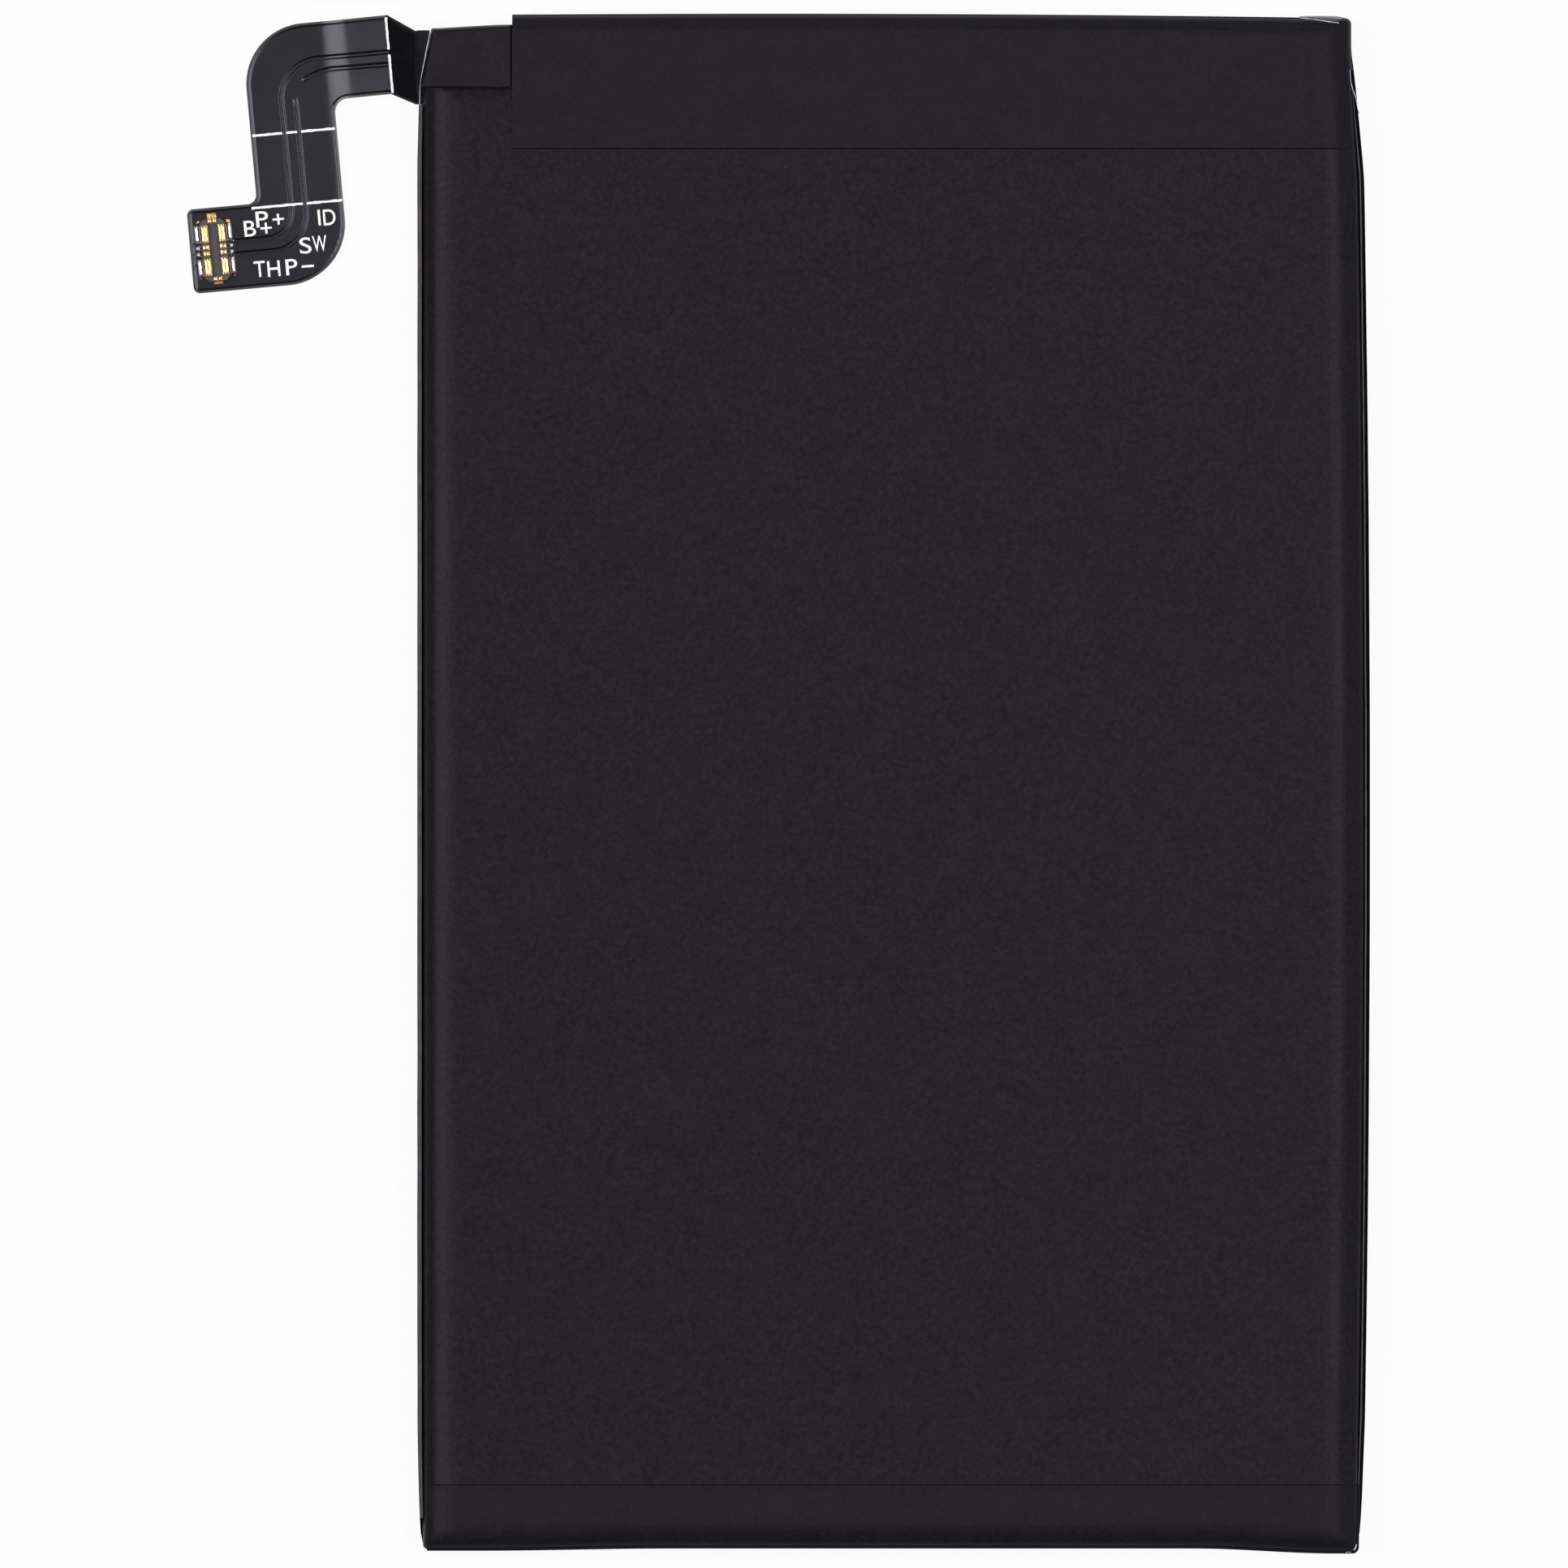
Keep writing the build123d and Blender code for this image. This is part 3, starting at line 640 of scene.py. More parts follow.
def makeFoam():
    bm = pillow(pack["boardEndY"], -foam["gap"], tapes["boardShoulder"])
    for point, normal in (((0, 0, foam["low"]), (0, 0, -1)), ((foam["leftX"], 0, 0), (-1, 0, 0)),
                          ((0, foam["lowerY"], 0), (0, -1, 0))):
        cutAt(bm, point, normal, clearOuter=True)
        bmesh.ops.holes_fill(bm, edges=[e for e in bm.edges if e.is_boundary], sides=0)
    cutGrid(bm, steps(-23, 28, 1.5), steps(45.5, 48, 0.8))
    shapeLikePack(bm)
    return setPiece(bm, "boardFoam", "foam", "foam", ["foam_spacer"])


def makeBottomTape():
    bm = pillow(pack["cellTopY"], tapes["thickness"])
    keepRegion(bm, xFrom=tapes["bottomLeft"], yTo=tapes["bottomLine"])
    cutGrid(bm, steps(-29, 29, 1.0), steps(-48, -45, 0.6) + edgeLines(tapes["bottomLine"], -1))
    shapeLikePack(bm)
    pressEdge(bm, tapes["bottomLine"], -1)
    surface = BVHTree.FromBMesh(bm)
    paintShoulderShade(bm, tapes["dullPlainEnd"])
    piece = setPiece(bm, "plainEndTape", "tape", "black_tape", ["bottom_tape"], others=["shoulderShade"])
    thicken(piece, tapes["thickness"])
    return surface


# The corner tape's flap, from its crease out and down over the circuit's end
sleeve = {
    # X and Y of the outer edge, X and height of the crease
    "stations": [
        (-30.26, 47.54, -29.28, 4.70), (-30.27, 46.90, -29.38, 4.74),
        (-30.27, 46.36, -29.51, 4.73), (-30.27, 45.80, -29.61, 4.71),
        (-30.26, 45.33, -29.70, 4.69), (-30.24, 44.80, -29.80, 4.62),
        (-30.21, 44.41, -29.88, 4.45), (-30.17, 43.95, -29.93, 4.0),
        (-30.10, 43.40, -29.93, 3.6), (-30.05, 42.90, -29.95, 3.42),
    ],
    "columns": 5,
    "outerHeight": 3.3,
    "bulge": 0.8,
    "buckle": 0.02,
    "thickness": 0.06,
    "crease": 0.024,
}


# The corner tape's own marks: a soft dent where it bridges the board's edge, and where it
# dives under the wide tape
cornerTape = {
    "corner": 0.05,
    "lap": 0.15,
    "wallTop": 3.32,
    "wallLow": 0.12,
    "dentX": -25.05,
    "dentWidth": 0.45,
    "dent": 0.05,
    "diveReach": (-24.24, -24.08),
    "dive": 0.22,
}


def makeCornerTape():
    thickness = tapes["cornerThickness"]
    edge = -pack["halfWidth"] - thickness
    bm = pillow(pack["leftStepY"], thickness, tapes["stepShoulder"], tapes["cornerShoulder"],
                cornerTape["corner"])
    keepRegion(bm, xTo=tapes["topLeft"] + cornerTape["lap"], yFrom=tapes["cornerLower"])
    cutAt(bm, (0, 0, cornerTape["wallTop"]), (0, 0, -1))
    # below its shoulder, only the end wall stays: the circuit comes out at the side
    bmesh.ops.delete(bm, context="FACES", geom=[
        f for f in bm.faces
        if f.calc_center_median().z < cornerTape["wallTop"] and f.normal.y < 0.9])
    cutGrid(bm, steps(-29, -24.6, 0.3) + [-24.22, -24.17, -24.12, -24.05],
            edgeLines(tapes["cornerLower"], 1, 8) + steps(44.5, 47, 0.4))
    creaseLine = [(y, x) for _, y, x, _ in sleeve["stations"]]
    for vert in bm.verts:
        x, y = vert.co.x, vert.co.y
        # the end slants up towards the wide tape
        vert.co.y += tapes["stepSlant"] * ease(x, -29.7, -24.1) * ease(y, 46.5, 47.5)
        dent = math.exp(-((x - cornerTape["dentX"]) / cornerTape["dentWidth"]) ** 2)
        vert.co.z -= cornerTape["dent"] * dent * ease(vert.co.z, 3.6, 4.7)
        # its side follows the crease, and its lower end is pressed down onto the pouch's shoulder
        vert.co.x += (follow(creaseLine, y) + 0.04 - edge) * ease(-x, 28, 29.7)
        down = 1 - ease(y, tapes["cornerLower"], tapes["cornerLower"] + tapes["edgeRun"])
        vert.co.z -= max(0, vert.co.z - shoulderHeight(x) - 0.01) * down
        vert.co.z -= cornerTape["dive"] * ease(x, *cornerTape["diveReach"])
        vert.co.z = max(vert.co.z, cornerTape["wallLow"])
    waveFace(bm)
    piece = setPiece(bm, "cornerTape", "tape", "black_tape", ["corner_tape"])
    return thicken(piece, thickness, 0)


# A round bar along a route, closed at both ends
def tube(bm, route, radius, sides=8):
    first = None
    for i, point in enumerate(route):
        onward = (route[min(i + 1, len(route) - 1)] - route[max(i - 1, 0)]).normalized()
        turn = Vector((0, 0, 1)).rotation_difference(onward).to_matrix().to_4x4()
        ring = bmesh.ops.create_circle(
            bm, cap_ends=i in (0, len(route) - 1), segments=sides, radius=radius,
            matrix=Matrix.Translation(point) @ turn)["verts"]
        edges = list({e for v in ring for e in v.link_edges if e.other_vert(v) in ring})
        if first:
            bmesh.ops.bridge_loops(bm, edges=first + edges)
        first = edges
    bmesh.ops.recalc_face_normals(bm, faces=bm.faces)


# A thin sheet through rows of points, facing up
def sheetThrough(rows):
    bm = bmesh.new()
    made = [[bm.verts.new(point) for point in row] for row in rows]
    for before, after in zip(made, made[1:]):
        for a, b, c, d in zip(before, before[1:], after[1:], after):
            bm.faces.new((a, b, c, d))
    bmesh.ops.recalc_face_normals(bm, faces=bm.faces)
    if sum(f.normal.z for f in bm.faces) < 0:
        bmesh.ops.reverse_faces(bm, faces=bm.faces)
    return bm


def smoothSheet(piece, thickness, edge):
    smooth = piece.modifiers.new("smooth", "SUBSURF")
    smooth.levels = smooth.render_levels = 2
    return thicken(piece, thickness, edge)


def makeSleeve():
    rows = []
    for outerX, y, creaseX, creaseZ in sleeve["stations"]:
        row = []
        for i in range(sleeve["columns"] + 1):
            t = i / sleeve["columns"]
            x = outerX + (creaseX - outerX) * t
            rise = (creaseZ - sleeve["outerHeight"]) * t ** sleeve["bulge"]
            buckle = sleeve["buckle"] * noise.noise(Vector((x * 2, y * 1.5, 4)))
            row.append((x, y, sleeve["outerHeight"] + rise + buckle))
        rows.append(row)
    piece = setPiece(sheetThrough(rows), "cornerFlap", "tape", "black_tape", ["flex_sleeve"])
    smoothSheet(piece, sleeve["thickness"], 0.02)

    # a pale bar along the crease, a painted highlight
    bm = bmesh.new()
    route = [Vector((x, y, z + 0.01)) for _, y, x, z in sleeve["stations"]]
    tube(bm, route, sleeve["crease"])
    return setPiece(bm, "cornerCreaseGlint", "creaseGlint", "black_tape")


# The film folded over at the board end's right corner: rows from its crease to its edge
cornerFold = {
    "rows": [
        [(25.69, 48.33, 3.90), (25.68, 48.37, 3.80), (25.66, 48.41, 3.72), (25.65, 48.44, 3.55)],
        [(26.70, 48.20, 4.31), (26.70, 48.27, 4.12), (26.70, 48.37, 4.05), (26.70, 48.46, 3.60)],
        [(27.64, 48.05, 4.55), (27.66, 48.14, 4.32), (27.70, 48.28, 4.25), (27.74, 48.45, 3.62)],
        [(28.15, 47.98, 4.56), (28.22, 48.09, 4.38), (28.30, 48.24, 4.28), (28.40, 48.41, 3.62)],
        [(28.50, 47.80, 4.36), (28.62, 47.93, 4.25), (28.72, 48.06, 4.05), (28.84, 48.14, 3.60)],
    ],
    "thickness": 0.05,
}


def makeCornerFolds():
    bm = sheetThrough(cornerFold["rows"])
    piece = setPiece(bm, "cornerFold", "crease", "black_tape", sharp=80)
    return smoothSheet(piece, cornerFold["thickness"], 0)


# Bars along hard creases, painted pale as their highlights: X, Y and height, and the radius.
# With no height, they lie on the tape at the plain end
creases = [
    ([(25.69, 48.33, 3.93), (26.7, 48.2, 4.34), (27.64, 48.05, 4.58), (28.15, 48.0, 4.59)], 0.026),
    ([(28.85, 45.13, 3.8), (28.90, 44.31, 3.82), (29.03, 43.79, 3.84), (29.23, 43.28, 3.84),
      (29.42, 42.26, 3.82)], 0.03),
    ([(29.25, -48.16), (29.2, -48.36), (29.1, -48.5)], 0.06),
    ([(28.6, -48.66), (28.78, -48.62), (28.9, -48.68)], 0.04),
]


def makeCreaseGlints():
    bm = bmesh.new()
    for points, radius in creases:
        route = []
        for point in points:
            if len(point) == 2:
                hit = plainEndSurface.ray_cast(Vector((*point, 20)), Vector((0, 0, -1)))[0]
                point = (*point, hit.z if hit else pack["wallTop"])
            route.append(Vector(point))
        tube(bm, route, radius)
    return setPiece(bm, "filmCreaseGlints", "creaseGlint", "black_tape")


makeTopTape()
makeFoam()
plainEndSurface = makeBottomTape()
makeCornerTape()
makeSleeve()
makeCornerFolds()
makeCreaseGlints()
print("tapes made")

# The flexible circuit, worked flat in the frame of its tail and then bent
flex = {
    "turn": math.radians(5.2),
    "tail": (-42.87, 33.69),
    "low": 0.365,
    "thickness": 0.17,
    "rise": 0.035,
    "border": 0.14,
    "slope": 0.1,
    "softStart": 7.7,
    "softEnd": 9.53,
    "softRadius": 4.5,
    "softSlope": 24,
    "fold": 12.05,
    "exit": 13.85,
    "rampSlope": 0.64,
    "gapDepth": 0.045,
    # between the samples of a groove's path
    "gapSpacing": 0.02,
    "armLean": 0.05,
}
toWorld = Matrix.Translation((*flex["tail"], 0)) @ Matrix.Rotation(flex["turn"], 4, "Z")
toTail = toWorld.inverted()


# How far the circuit has climbed at a distance along its arm
def climb(u):
    radius = flex["softRadius"]
    slope = math.tan(math.radians(flex["softSlope"]))
    if u < flex["softStart"]:
        return 0.0
    run = min(u, flex["softEnd"]) - flex["softStart"]
    height = radius - math.sqrt(radius * radius - run * run)
    height += slope * max(0, min(u, flex["fold"]) - flex["softEnd"])
    return height + flex["rampSlope"] * max(0, min(u, flex["exit"]) - flex["fold"])


def tailPoint(x, y):
    point = toTail @ Vector((x, y, 0))
    return point.x, point.y


# A groove's path: straight runs with rounded corners, sampled finely
def roundedRoute(points, bends):
    spacing = flex["gapSpacing"]
    corners = [Vector((*p, 0)) for p in points]
    route = [corners[0]]
    for before, corner, after, bend in zip(corners, corners[1:], corners[2:], bends):
        start = corner + (before - corner).normalized() * bend
        end = corner + (after - corner).normalized() * bend
        handles = start.lerp(corner, 0.552), end.lerp(corner, 0.552)
        route += interpolate_bezier(start, handles[0], handles[1], end, 24)
    route.append(corners[-1])
    samples = []
    for first, second in zip(route, route[1:]):
        run = second - first
        for i in range(max(1, round(run.length / spacing))):
            along = i * spacing / max(run.length, spacing)
            samples.append((first + run * along, run.normalized()))
    return samples


# The gaps between the copper fields, where the cover film sinks: its route, how far its
# corners are rounded, and how far it takes to fade in and out at its ends
gaps = [
    ([(13.3, 11.33), (12.05, 11.45), (5.02, 11.5), (5.02, 0.42), (0.9, 0.42)], [0.3, 2.5, 1.75],
     0.3, 0.2),
    ([(13.3, 10.5), (12.05, 10.66), (7.6, 10.74), (6.35, 10.1)], [0.3, 0.9], 0.3, 0.35),
    ([(5.86, 9.35), (5.92, 8.4), (5.92, -0.4), (0.9, -0.4)], [0.4, 2.3], 0.9, 0.2),
]


# A groove is steeper on its left than on its right
def gapShape(side):
    return 1 - (ease(-side, 0.07, 0.2) if side < 0 else ease(side, 0.05, 0.13))


# The circuit's outline: each corner's place and its radius
flexOutline = [
    (*tailPoint(-29.8, 47.5), 0), (*tailPoint(-30.2, 47.5), 0), (12.15, 13.8, 0),
    (2.85, 13.8, 3.85), (2.85, 2.7, 0.6), (-1.62, 2.7, 0.42), (-1.62, -2.64, 0.42),
    (8.31, -2.64, 3.9), (8.31, 8.8, 0.87), (11.95, 8.8, 0),
    (*tailPoint(-30.2, 42.87), 0), (*tailPoint(-29.8, 42.87), 0),
]


def makeFlex():
    bm = bmesh.new()
    verts = [bm.verts.new((u, v, 0)) for u, v, bend in flexOutline]
    bm.faces.new(verts)
    for vert, (u, v, bend) in zip(verts, flexOutline):
        if bend:
            bmesh.ops.bevel(bm, geom=[vert], offset=bend, segments=28 if bend > 0.5 else 8,
                            profile=0.5, affect="VERTICES", material=-1)
    made = bmesh.ops.extrude_face_region(bm, geom=bm.faces[:])["geom"]
    raised = [g for g in made if isinstance(g, bmesh.types.BMVert)]
    bmesh.ops.translate(bm, vec=(0, 0, flex["thickness"]), verts=raised)
    bmesh.ops.recalc_face_normals(bm, faces=bm.faces)
    top = [f for f in bm.faces if f.normal.z > 0.9]
    # the flat border, then the slope up onto the copper, with a narrow easing at both its ends
    easing, step = 0.03, 0.003
    for width, depth, material in (
        (easing, 0, 1), (flex["border"] - easing, 0, 1), (easing, step, 0),
        (flex["slope"], flex["rise"] - 2 * step, 0), (easing, step, 0), (0.05, 0, 0),
    ):
        ring = bmesh.ops.inset_region(bm, faces=top, thickness=width, depth=depth,
                                      use_even_offset=True)["faces"]
        for face in ring:
            face.material_index = material
    bends = steps(flex["softStart"], flex["softEnd"], 0.16)
    folds = [10.4, 11, 11.6, 12.01, 12.05, 12.09, 12.6, 13.1, 13.5, 13.81, 13.85]
    cutGrid(bm, steps(-1, 8, 0.6) + bends + folds, steps(-2, 13, 0.6))

    samples = []
    for points, bends, fadeIn, fadeOut in gaps:
        route = roundedRoute(points, bends)
        reach = len(route)
        for i, (place, along) in enumerate(route):
            fade = ease(i * flex["gapSpacing"], 0, fadeIn)
            fade *= ease((reach - i) * flex["gapSpacing"], 0, fadeOut)
            samples.append((place, along, fade))
    tree = KDTree(len(samples))
    for i, (place, along, fade) in enumerate(samples):
        tree.insert(place, i)
    tree.balance()

    raisedTop = flex["thickness"] + flex["rise"]
    for reach in (0.62, 0.42, 0.32, 0.26):
        near = set()
        for face in bm.faces:
            middle = face.calc_center_median()
            if middle.z > raisedTop - 0.01 and tree.find((middle.x, middle.y, 0))[2] < reach:
                near.update(face.edges)
        bmesh.ops.subdivide_edges(bm, edges=list(near), cuts=1, use_grid_fill=True)
    for vert in bm.verts:
        u, v = vert.co.x, vert.co.y
        if vert.co.z > raisedTop - 0.01:
            place, index, distance = tree.find((u, v, 0))
            if distance < 0.25:
                along = samples[index][1]
                side = along.x * (v - place.y) - along.y * (u - place.x)
                vert.co.z -= flex["gapDepth"] * samples[index][2] * gapShape(side)
        sag = 0.02 * noise.noise(Vector((u / 3.5, v / 3.5, 0.6)))
        sag += flex["armLean"] * ease(u, 2.6, 8.4) * ease(v, 0, 3) * (1 - ease(v, 7, 11))
        vert.co.z += flex["low"] + climb(u) + sag * (1 - ease(u, 10, 12))
    bmesh.ops.transform(bm, matrix=toWorld, verts=bm.verts)
    surface = BVHTree.FromBMesh(bm)
    piece = setPiece(bm, "flexCircuit", "film", "cover_film", ["flex_circuit"], sharp=50,
                     others=["border"])
    return piece, surface


flexPiece, flexSurface = makeFlex()
print("flexible circuit made:", len(flexPiece.data.polygons), "faces")


# Lays a flat print, in the tail's frame, on the circuit's surface
def layPrint(bm, lift=0.012):
    bmesh.ops.transform(bm, matrix=toWorld, verts=bm.verts)
    for vert in bm.verts:
        hit = flexSurface.ray_cast(Vector((vert.co.x, vert.co.y, 20)), Vector((0, 0, -1)))[0]
        vert.co.z = (hit.z if hit else flex["low"]) + lift


# The printed fold lines, a little ragged from the screen
printing = {
    "lineWidth": 0.15,
    "lineStep": 0.03,
    "ragged": 0.014,
    "meshPitch": 0.12,
    "wander": 0.025,
    "markHeight": 1.04,
    "stroke": 0.008,
    # the marks were measured in pixels; this one is the frame's origin
    "pixelsPerMm": 19.5,
    "originX": 1101,
    "originY": 964,
}


def foldLine(start, end):
    start, end = Vector(start), Vector(end)
    length = (end - start).length
    bm = bmesh.new()
    count = max(2, round(length / printing["lineStep"]))
    bmesh.ops.create_grid(bm, x_segments=count, y_segments=1, size=0.5)
    bmesh.ops.scale(bm, vec=(length, printing["lineWidth"], 1), verts=bm.verts)
    for vert in bm.verts:
        tooth = printing["ragged"] * math.sin(vert.co.x / printing["meshPitch"] * 2 * math.pi)
        wander = noise.noise(Vector((vert.co.x * 4, vert.co.y * 9, start.x)))
        tooth = tooth if vert.co.y > 0 else 0.3 * tooth
        vert.co.y += printing["wander"] * wander + tooth
    angle = math.atan2(end.y - start.y, end.x - start.x)
    middle = (start + end) / 2
    place = Matrix.Translation((middle.x, middle.y, 0)) @ Matrix.Rotation(angle, 4, "Z")
    bmesh.ops.transform(bm, matrix=place, verts=bm.verts)
    return bm


def joinMeshes(parts):
    whole = bmesh.new()
    for part in parts:
        mesh = bpy.data.meshes.new("part")
        part.to_mesh(mesh)
        part.free()
        whole.from_mesh(mesh)
        bpy.data.meshes.remove(mesh)
    return whole


def makeFoldLines():
    lines = joinMeshes([foldLine(start, end) for start, end in (
        ((12.05, 8.86), (12.05, 11.3)), ((12.05, 11.62), (12.05, 13.66)),
        ((2.95, 6.98), (4.85, 6.98)), ((5.1, 6.98), (5.8, 6.98)), ((6.05, 6.98), (8.2, 6.98)),
        ((2.49, 2.42), (5.75, 2.42)), ((5.98, 2.42), (8.25, 2.42)),
    )])
    layPrint(lines)
    return setPiece(lines, "foldLines", "ink", "cover_film")


def makeMark(text, u, v, width=None):
    curve = bpy.data.curves.new("mark", "FONT")
    curve.body = text
    curve.align_x = "CENTER"
    curve.align_y = "CENTER"
    curve.size = printing["markHeight"] / 0.72
    curve.offset = printing["stroke"]
    curve.resolution_u = 6
    holder = bpy.data.objects.new("mark", curve)
    mesh = bpy.data.meshes.new_from_object(holder)
    bpy.data.objects.remove(holder)
    bm = bmesh.new()
    bm.from_mesh(mesh)
    bmesh.ops.remove_doubles(bm, verts=bm.verts, dist=0.001)
    reach = [vert.co.x for vert in bm.verts]
    rise = [vert.co.y for vert in bm.verts]
    middle = Vector(((min(reach) + max(reach)) / 2, (min(rise) + max(rise)) / 2, 0))
    bmesh.ops.translate(bm, vec=-middle, verts=bm.verts)
    if width:
        bmesh.ops.scale(bm, vec=(width / (max(reach) - min(reach)), 1, 1), verts=bm.verts)
    bmesh.ops.translate(bm, vec=(u, v, 0), verts=bm.verts)
    return bm


# Generic terminal marks: each letter's middle, and its width in millimetres
letters = [
    ("P", 322, 269, 0.78), ("+", 342, 269, 0.72), ("B", 307, 280.5, 0.74),
    ("+", 327, 280, 0.72), ("I", 392.5, 267, None), ("D", 405, 266.5, 0.78),
    ("S", 375.5, 301.5, 0.74), ("W", 393, 299, 0.9), ("T", 319, 330.5, 0.72),
    ("H", 336.5, 330, 0.8), ("P", 358.5, 328, 0.74), ("-", 378.5, 327, 0.78),
]


def makeMarks():
    parts = []
    for text, across, down, width in letters:
        x = (across - printing["originX"]) / printing["pixelsPerMm"]
        y = (printing["originY"] - down) / printing["pixelsPerMm"]
        parts.append(makeMark(text, *tailPoint(x, y), width))
    marks = joinMeshes(parts)
    layPrint(marks)
    return setPiece(marks, "terminalMarks", "ink", "cover_film")


makeFoldLines()
makeMarks()
print("printing made")


# What shows round the connector, in the connector's own frame
connector = {
    "turn": math.radians(6.1),
    "place": (-42.92, 33.69, 0.535),
    "top": 0.68,
    # each contact's middle along the row and its length
    "contacts": [(1.05, 1.05), (-1.05, 1.05), (0.195, 0.26), (-0.195, 0.26)],
    "contactMiddle": 0.55,
    "contactWidth": 0.38,
    "crownRise": 0.035,
    "tailMiddle": 1.03,
    "tailWidth": 0.34,
    "clipPlace": (0.155, 1.84),
    "clipSize": (0.25, 0.27, 0.05),
    # from here, blocks as softBlock takes them, up to their height
    "pads": [
        (-1.0, 1.2, 0, 0.42, 1.42, 0.045), (1.03, 1.16, 0, 0.42, 1.36, 0.045),
        (-1.0, -1.13, 0, 0.4, 1.3, 0.045), (1.02, -1.14, 0, 0.4, 1.3, 0.045),
        (0, 2.16, 0, 0.62, 0.4, 0.045),
    ],
    "bentPads": [(-0.86, 1.85, 0.03, 0.36, 0.2, 0.19), (0.98, 1.73, 0.03, 0.46, 0.36, 0.17)],
    "beads": [
        (1.06, 0.56, 0.02, 0.3, 0.26, 0.12), (-1.02, -0.02, 0.02, 0.3, 0.16, 0.1),
        (-1.06, -1.72, 0.02, 0.26, 0.2, 0.09), (1.06, -1.74, 0.02, 0.26, 0.2, 0.09),
    ],
    # and arcs: middle, radius and the angles between which they run
    "lifted": [
        (-1.2, 0.28, 0.26, 75, 190), (-1.28, -0.28, 0.16, 110, 250), (-1.18, -1.05, 0.26, 80, 180),
    ],
    "loop": (0.06, 2.1, 0.2, -5, 185),
}
toConnector = Matrix.Translation(connector["place"]) @ Matrix.Rotation(connector["turn"], 4, "Z")


# A block whose top takes a shape, a function of places from -1 to 1 across it
def softBlock(bm, u, v, low, width, length, height, shape, columns=10, rows=10):
    made = bmesh.ops.create_cube(bm, size=1)["verts"]
    geometry = list({g for v0 in made for g in (*v0.link_edges, *v0.link_faces)}) + made
    for axis, count in ((Vector((1, 0, 0)), columns), (Vector((0, 1, 0)), rows)):
        for i in range(1, count):
            found = bmesh.ops.bisect_plane(bm, geom=geometry, plane_no=axis,
                                           plane_co=axis * (i / count - 0.5))
            geometry = list(set(geometry) | set(found["geom"]) | set(found["geom_cut"]))
            geometry = [g for g in geometry if g.is_valid]
    verts = {g for g in geometry if isinstance(g, bmesh.types.BMVert)}
    for vert in verts:
        x, y = 2 * vert.co.x, 2 * vert.co.y
        rise = height * shape(x, y) if vert.co.z > 0 else 0
        vert.co = (u + vert.co.x * width, v + vert.co.y * length, low + rise)
    return verts


# A stamped crown: two long ridges with a pressed line between them
def powerCrown(x, y):
    return max(0.05, (1 - x ** 6) * (1 - y ** 24) - 0.75 * math.exp(-(x / 0.16) ** 2))


# A short crown with a pressed dimple
def signalCrown(x, y):
    dimple = 0.9 * math.exp(-((x / 0.22) ** 2 + (y / 0.28) ** 2))
    return max(0.05, (1 - x ** 8) * (1 - y ** 8) - dimple)


def padCrown(x, y):
    return max(0.02, (1 - x ** 4) * (1 - y ** 4))


def solderDome(x, y):
    lumps = 0.12 * noise.noise(Vector((x * 1.2, y * 3, 2)))
    return max(0.05, math.sqrt(max(0, 1 - x * x)) * (1 - y ** 10) + lumps)


def setAtConnector(bm, *rest):
    bmesh.ops.transform(bm, matrix=toConnector, verts=bm.verts)
    return setPiece(bm, *rest)


def makeContacts():
    bm = bmesh.new()
    low = connector["top"] - 0.01
    clipU, clipV = connector["clipPlace"]
    for side in (-1, 1):
        for v, length in connector["contacts"]:
            crown = powerCrown if length > 0.5 else signalCrown
            softBlock(bm, side * connector["contactMiddle"], v, low,
                      connector["contactWidth"], length, connector["crownRise"], crown, 20, 12)
        for end in (-1, 1):
            softBlock(bm, side * clipU, end * clipV, low, *connector["clipSize"], padCrown)
    return setAtConnector(bm, "contactCrowns", "gold", "gold_plating")


# The exposed pads on the circuit, with the ends that the solder doesn't cover
def makePads():
    bm = bmesh.new()
    for pad in connector["pads"]:
        softBlock(bm, *pad, padCrown, 4, 4)
    # bent over the solder's upper ends
    for pad in connector["bentPads"]:
        softBlock(bm, *pad, padCrown, 6, 6)
    return setAtConnector(bm, "solderPads", "gold", "gold_plating")


def makeSolder():
    bm = bmesh.new()
    for side in (-1, 1):
        for v, length in connector["contacts"]:
            short = length < 0.5
            middle = v if short or v < 0 else v + 0.04
            width = connector["tailWidth"] + (0.06 if short else 0)
            softBlock(bm, side * connector["tailMiddle"], middle, 0.03, width,
                      length * (0.9 if short else 1.06), 0.2 if short else 0.15, solderDome,
                      10, 14)
    return setAtConnector(bm, "solderFillets", "solder", "solder", ["solder_joints"])


def arc(u, v, radius, start, end, height, count=12):
    route = []
    for i in range(count + 1):
        angle = math.radians(start + (end - start) * i / count)
        place = (u + radius * math.cos(angle), v + radius * math.sin(angle), height)
        route.append(toConnector @ Vector(place))
    return route


# Rosin left by the soldering, and the ends of the film that it lifted
def makeFlux():
    bm = bmesh.new()
    for bead in connector["beads"]:
        softBlock(bm, *bead, solderDome)
    setAtConnector(bm, "fluxBeads", "flux", "solder")
    bm = bmesh.new()
    for line in connector["lifted"]:
        tube(bm, arc(*line, 0.05), 0.035)
    return setPiece(bm, "liftedFilm", "crease", "cover_film")


# The clip's looped foot beyond the upper end
def makeLoop():
    bm = bmesh.new()
    tube(bm, arc(*connector["loop"], 0.12, 16), 0.06, 10)
    return setPiece(bm, "clipLoop", "gold", "gold_plating")


makeContacts()
makePads()
makeSolder()
makeFlux()
makeLoop()
print("connector details made")


# The stand, the lights and the camera

# how much of the floor's white is its own; the rest takes the shadow
whiteShare = 0.93


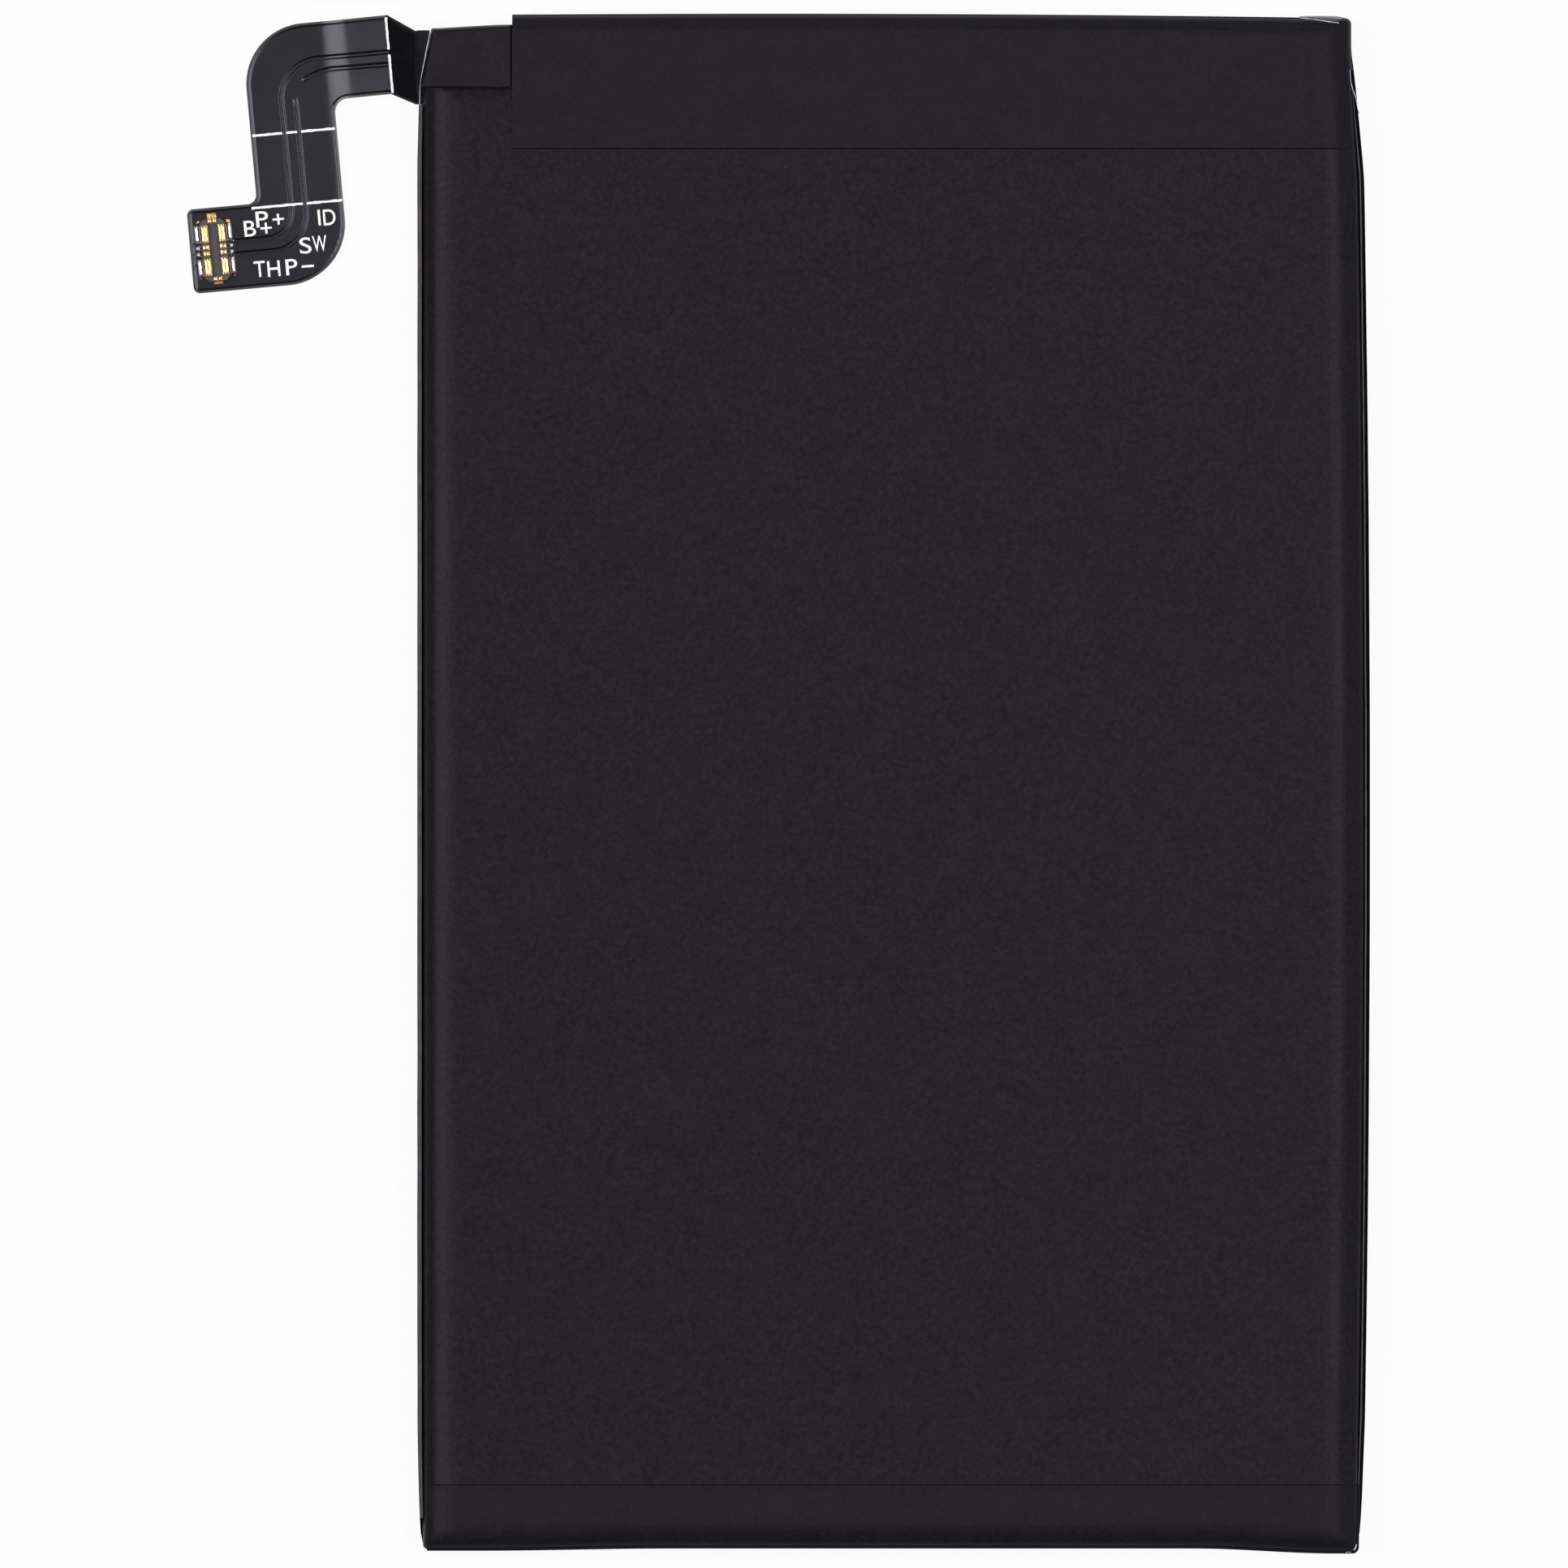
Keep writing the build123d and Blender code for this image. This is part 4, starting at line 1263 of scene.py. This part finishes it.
def makeFloor():
    bm = bmesh.new()
    bmesh.ops.create_grid(bm, x_segments=1, y_segments=1, size=4)
    mesh = bpy.data.meshes.new("floor")
    bm.to_mesh(mesh)
    bm.free()
    floor = bpy.data.objects.new("floor", mesh)
    bpy.context.collection.objects.link(floor)
    made = bpy.data.materials.new("white paper sweep")
    made.use_nodes = True
    tree = made.node_tree
    shader = tree.nodes["Principled BSDF"]
    shader.inputs["Base Color"].default_value = hexColour("#f2f2f2")
    shader.inputs["Roughness"].default_value = 0.9
    light = addNode(tree, "ShaderNodeEmission", {"Color": (1, 1, 1, 1), "Strength": 1.0})
    # the same white for the camera, for gloss and through clear parts, with the shadow kept
    path = addNode(tree, "ShaderNodeLightPath").outputs
    seen = path["Is Camera Ray"]
    for operation, other in (("MAXIMUM", path["Is Glossy Ray"]),
                             ("MAXIMUM", path["Is Transmission Ray"]), ("MULTIPLY", whiteShare)):
        inputs = {0: seen, 1: other}
        seen = addNode(tree, "ShaderNodeMath", inputs, operation=operation).outputs[0]
    inputs = {0: seen, 1: shader.outputs[0], 2: light.outputs[0]}
    mixed = addNode(tree, "ShaderNodeMixShader", inputs)
    tree.links.new(mixed.outputs[0], tree.nodes["Material Output"].inputs["Surface"])
    mesh.materials.append(made)
    return floor


# An area lamp that faces the origin; the second size runs outwards
def addLamp(name, place, size, power):
    data = bpy.data.lights.new(name, "AREA")
    data.shape = "RECTANGLE"
    data.size, data.size_y = size
    data.energy = power
    lamp = bpy.data.objects.new(name, data)
    lamp.location = place
    lamp.rotation_euler = (-Vector(place)).to_track_quat("-Z", "Y").to_euler()
    bpy.context.collection.objects.link(lamp)
    return lamp


makeFloor()
addLamp("leftSoftbox", (-0.575, 0.05, 1.045), (0.5, 0.72), 8.6)
addLamp("rightStrip", (0.31, 0.0, 1.11), (0.4, 0.16), 3.7)
addLamp("rightFill", (1.0, 0.0, 0.6), (1.2, 0.9), 3.2)
addLamp("backSoftbox", (0.0, 0.9, 0.6), (1.0, 0.3), 2.5)
addLamp("overheadPanel", (0.0, 0.0, 3.2), (1.8, 1.8), 3.7)

world = bpy.data.worlds.new("studio")
bpy.context.scene.world = world
world.use_nodes = True
background = world.node_tree.nodes["Background"].inputs
background["Color"].default_value = (1, 1, 1, 1)
background["Strength"].default_value = 0.05

camera = {
    "x": -6.92,
    "y": -0.1,
    "distance": 3000.0,
    "field": 99.08,
    "face": 4.85,
}
lens = bpy.data.cameras.new("camera")
lens.sensor_width = 36
lens.lens = 36 * camera["distance"] / camera["field"]
lens.clip_end = 20
cameraObject = bpy.data.objects.new("camera", lens)
height = camera["distance"] + camera["face"]
cameraObject.location = (camera["x"] * mm, camera["y"] * mm, height * mm)
bpy.context.collection.objects.link(cameraObject)
bpy.context.scene.camera = cameraObject
bpy.context.scene.view_settings.view_transform = "Standard"
print("stage, lights and camera made")
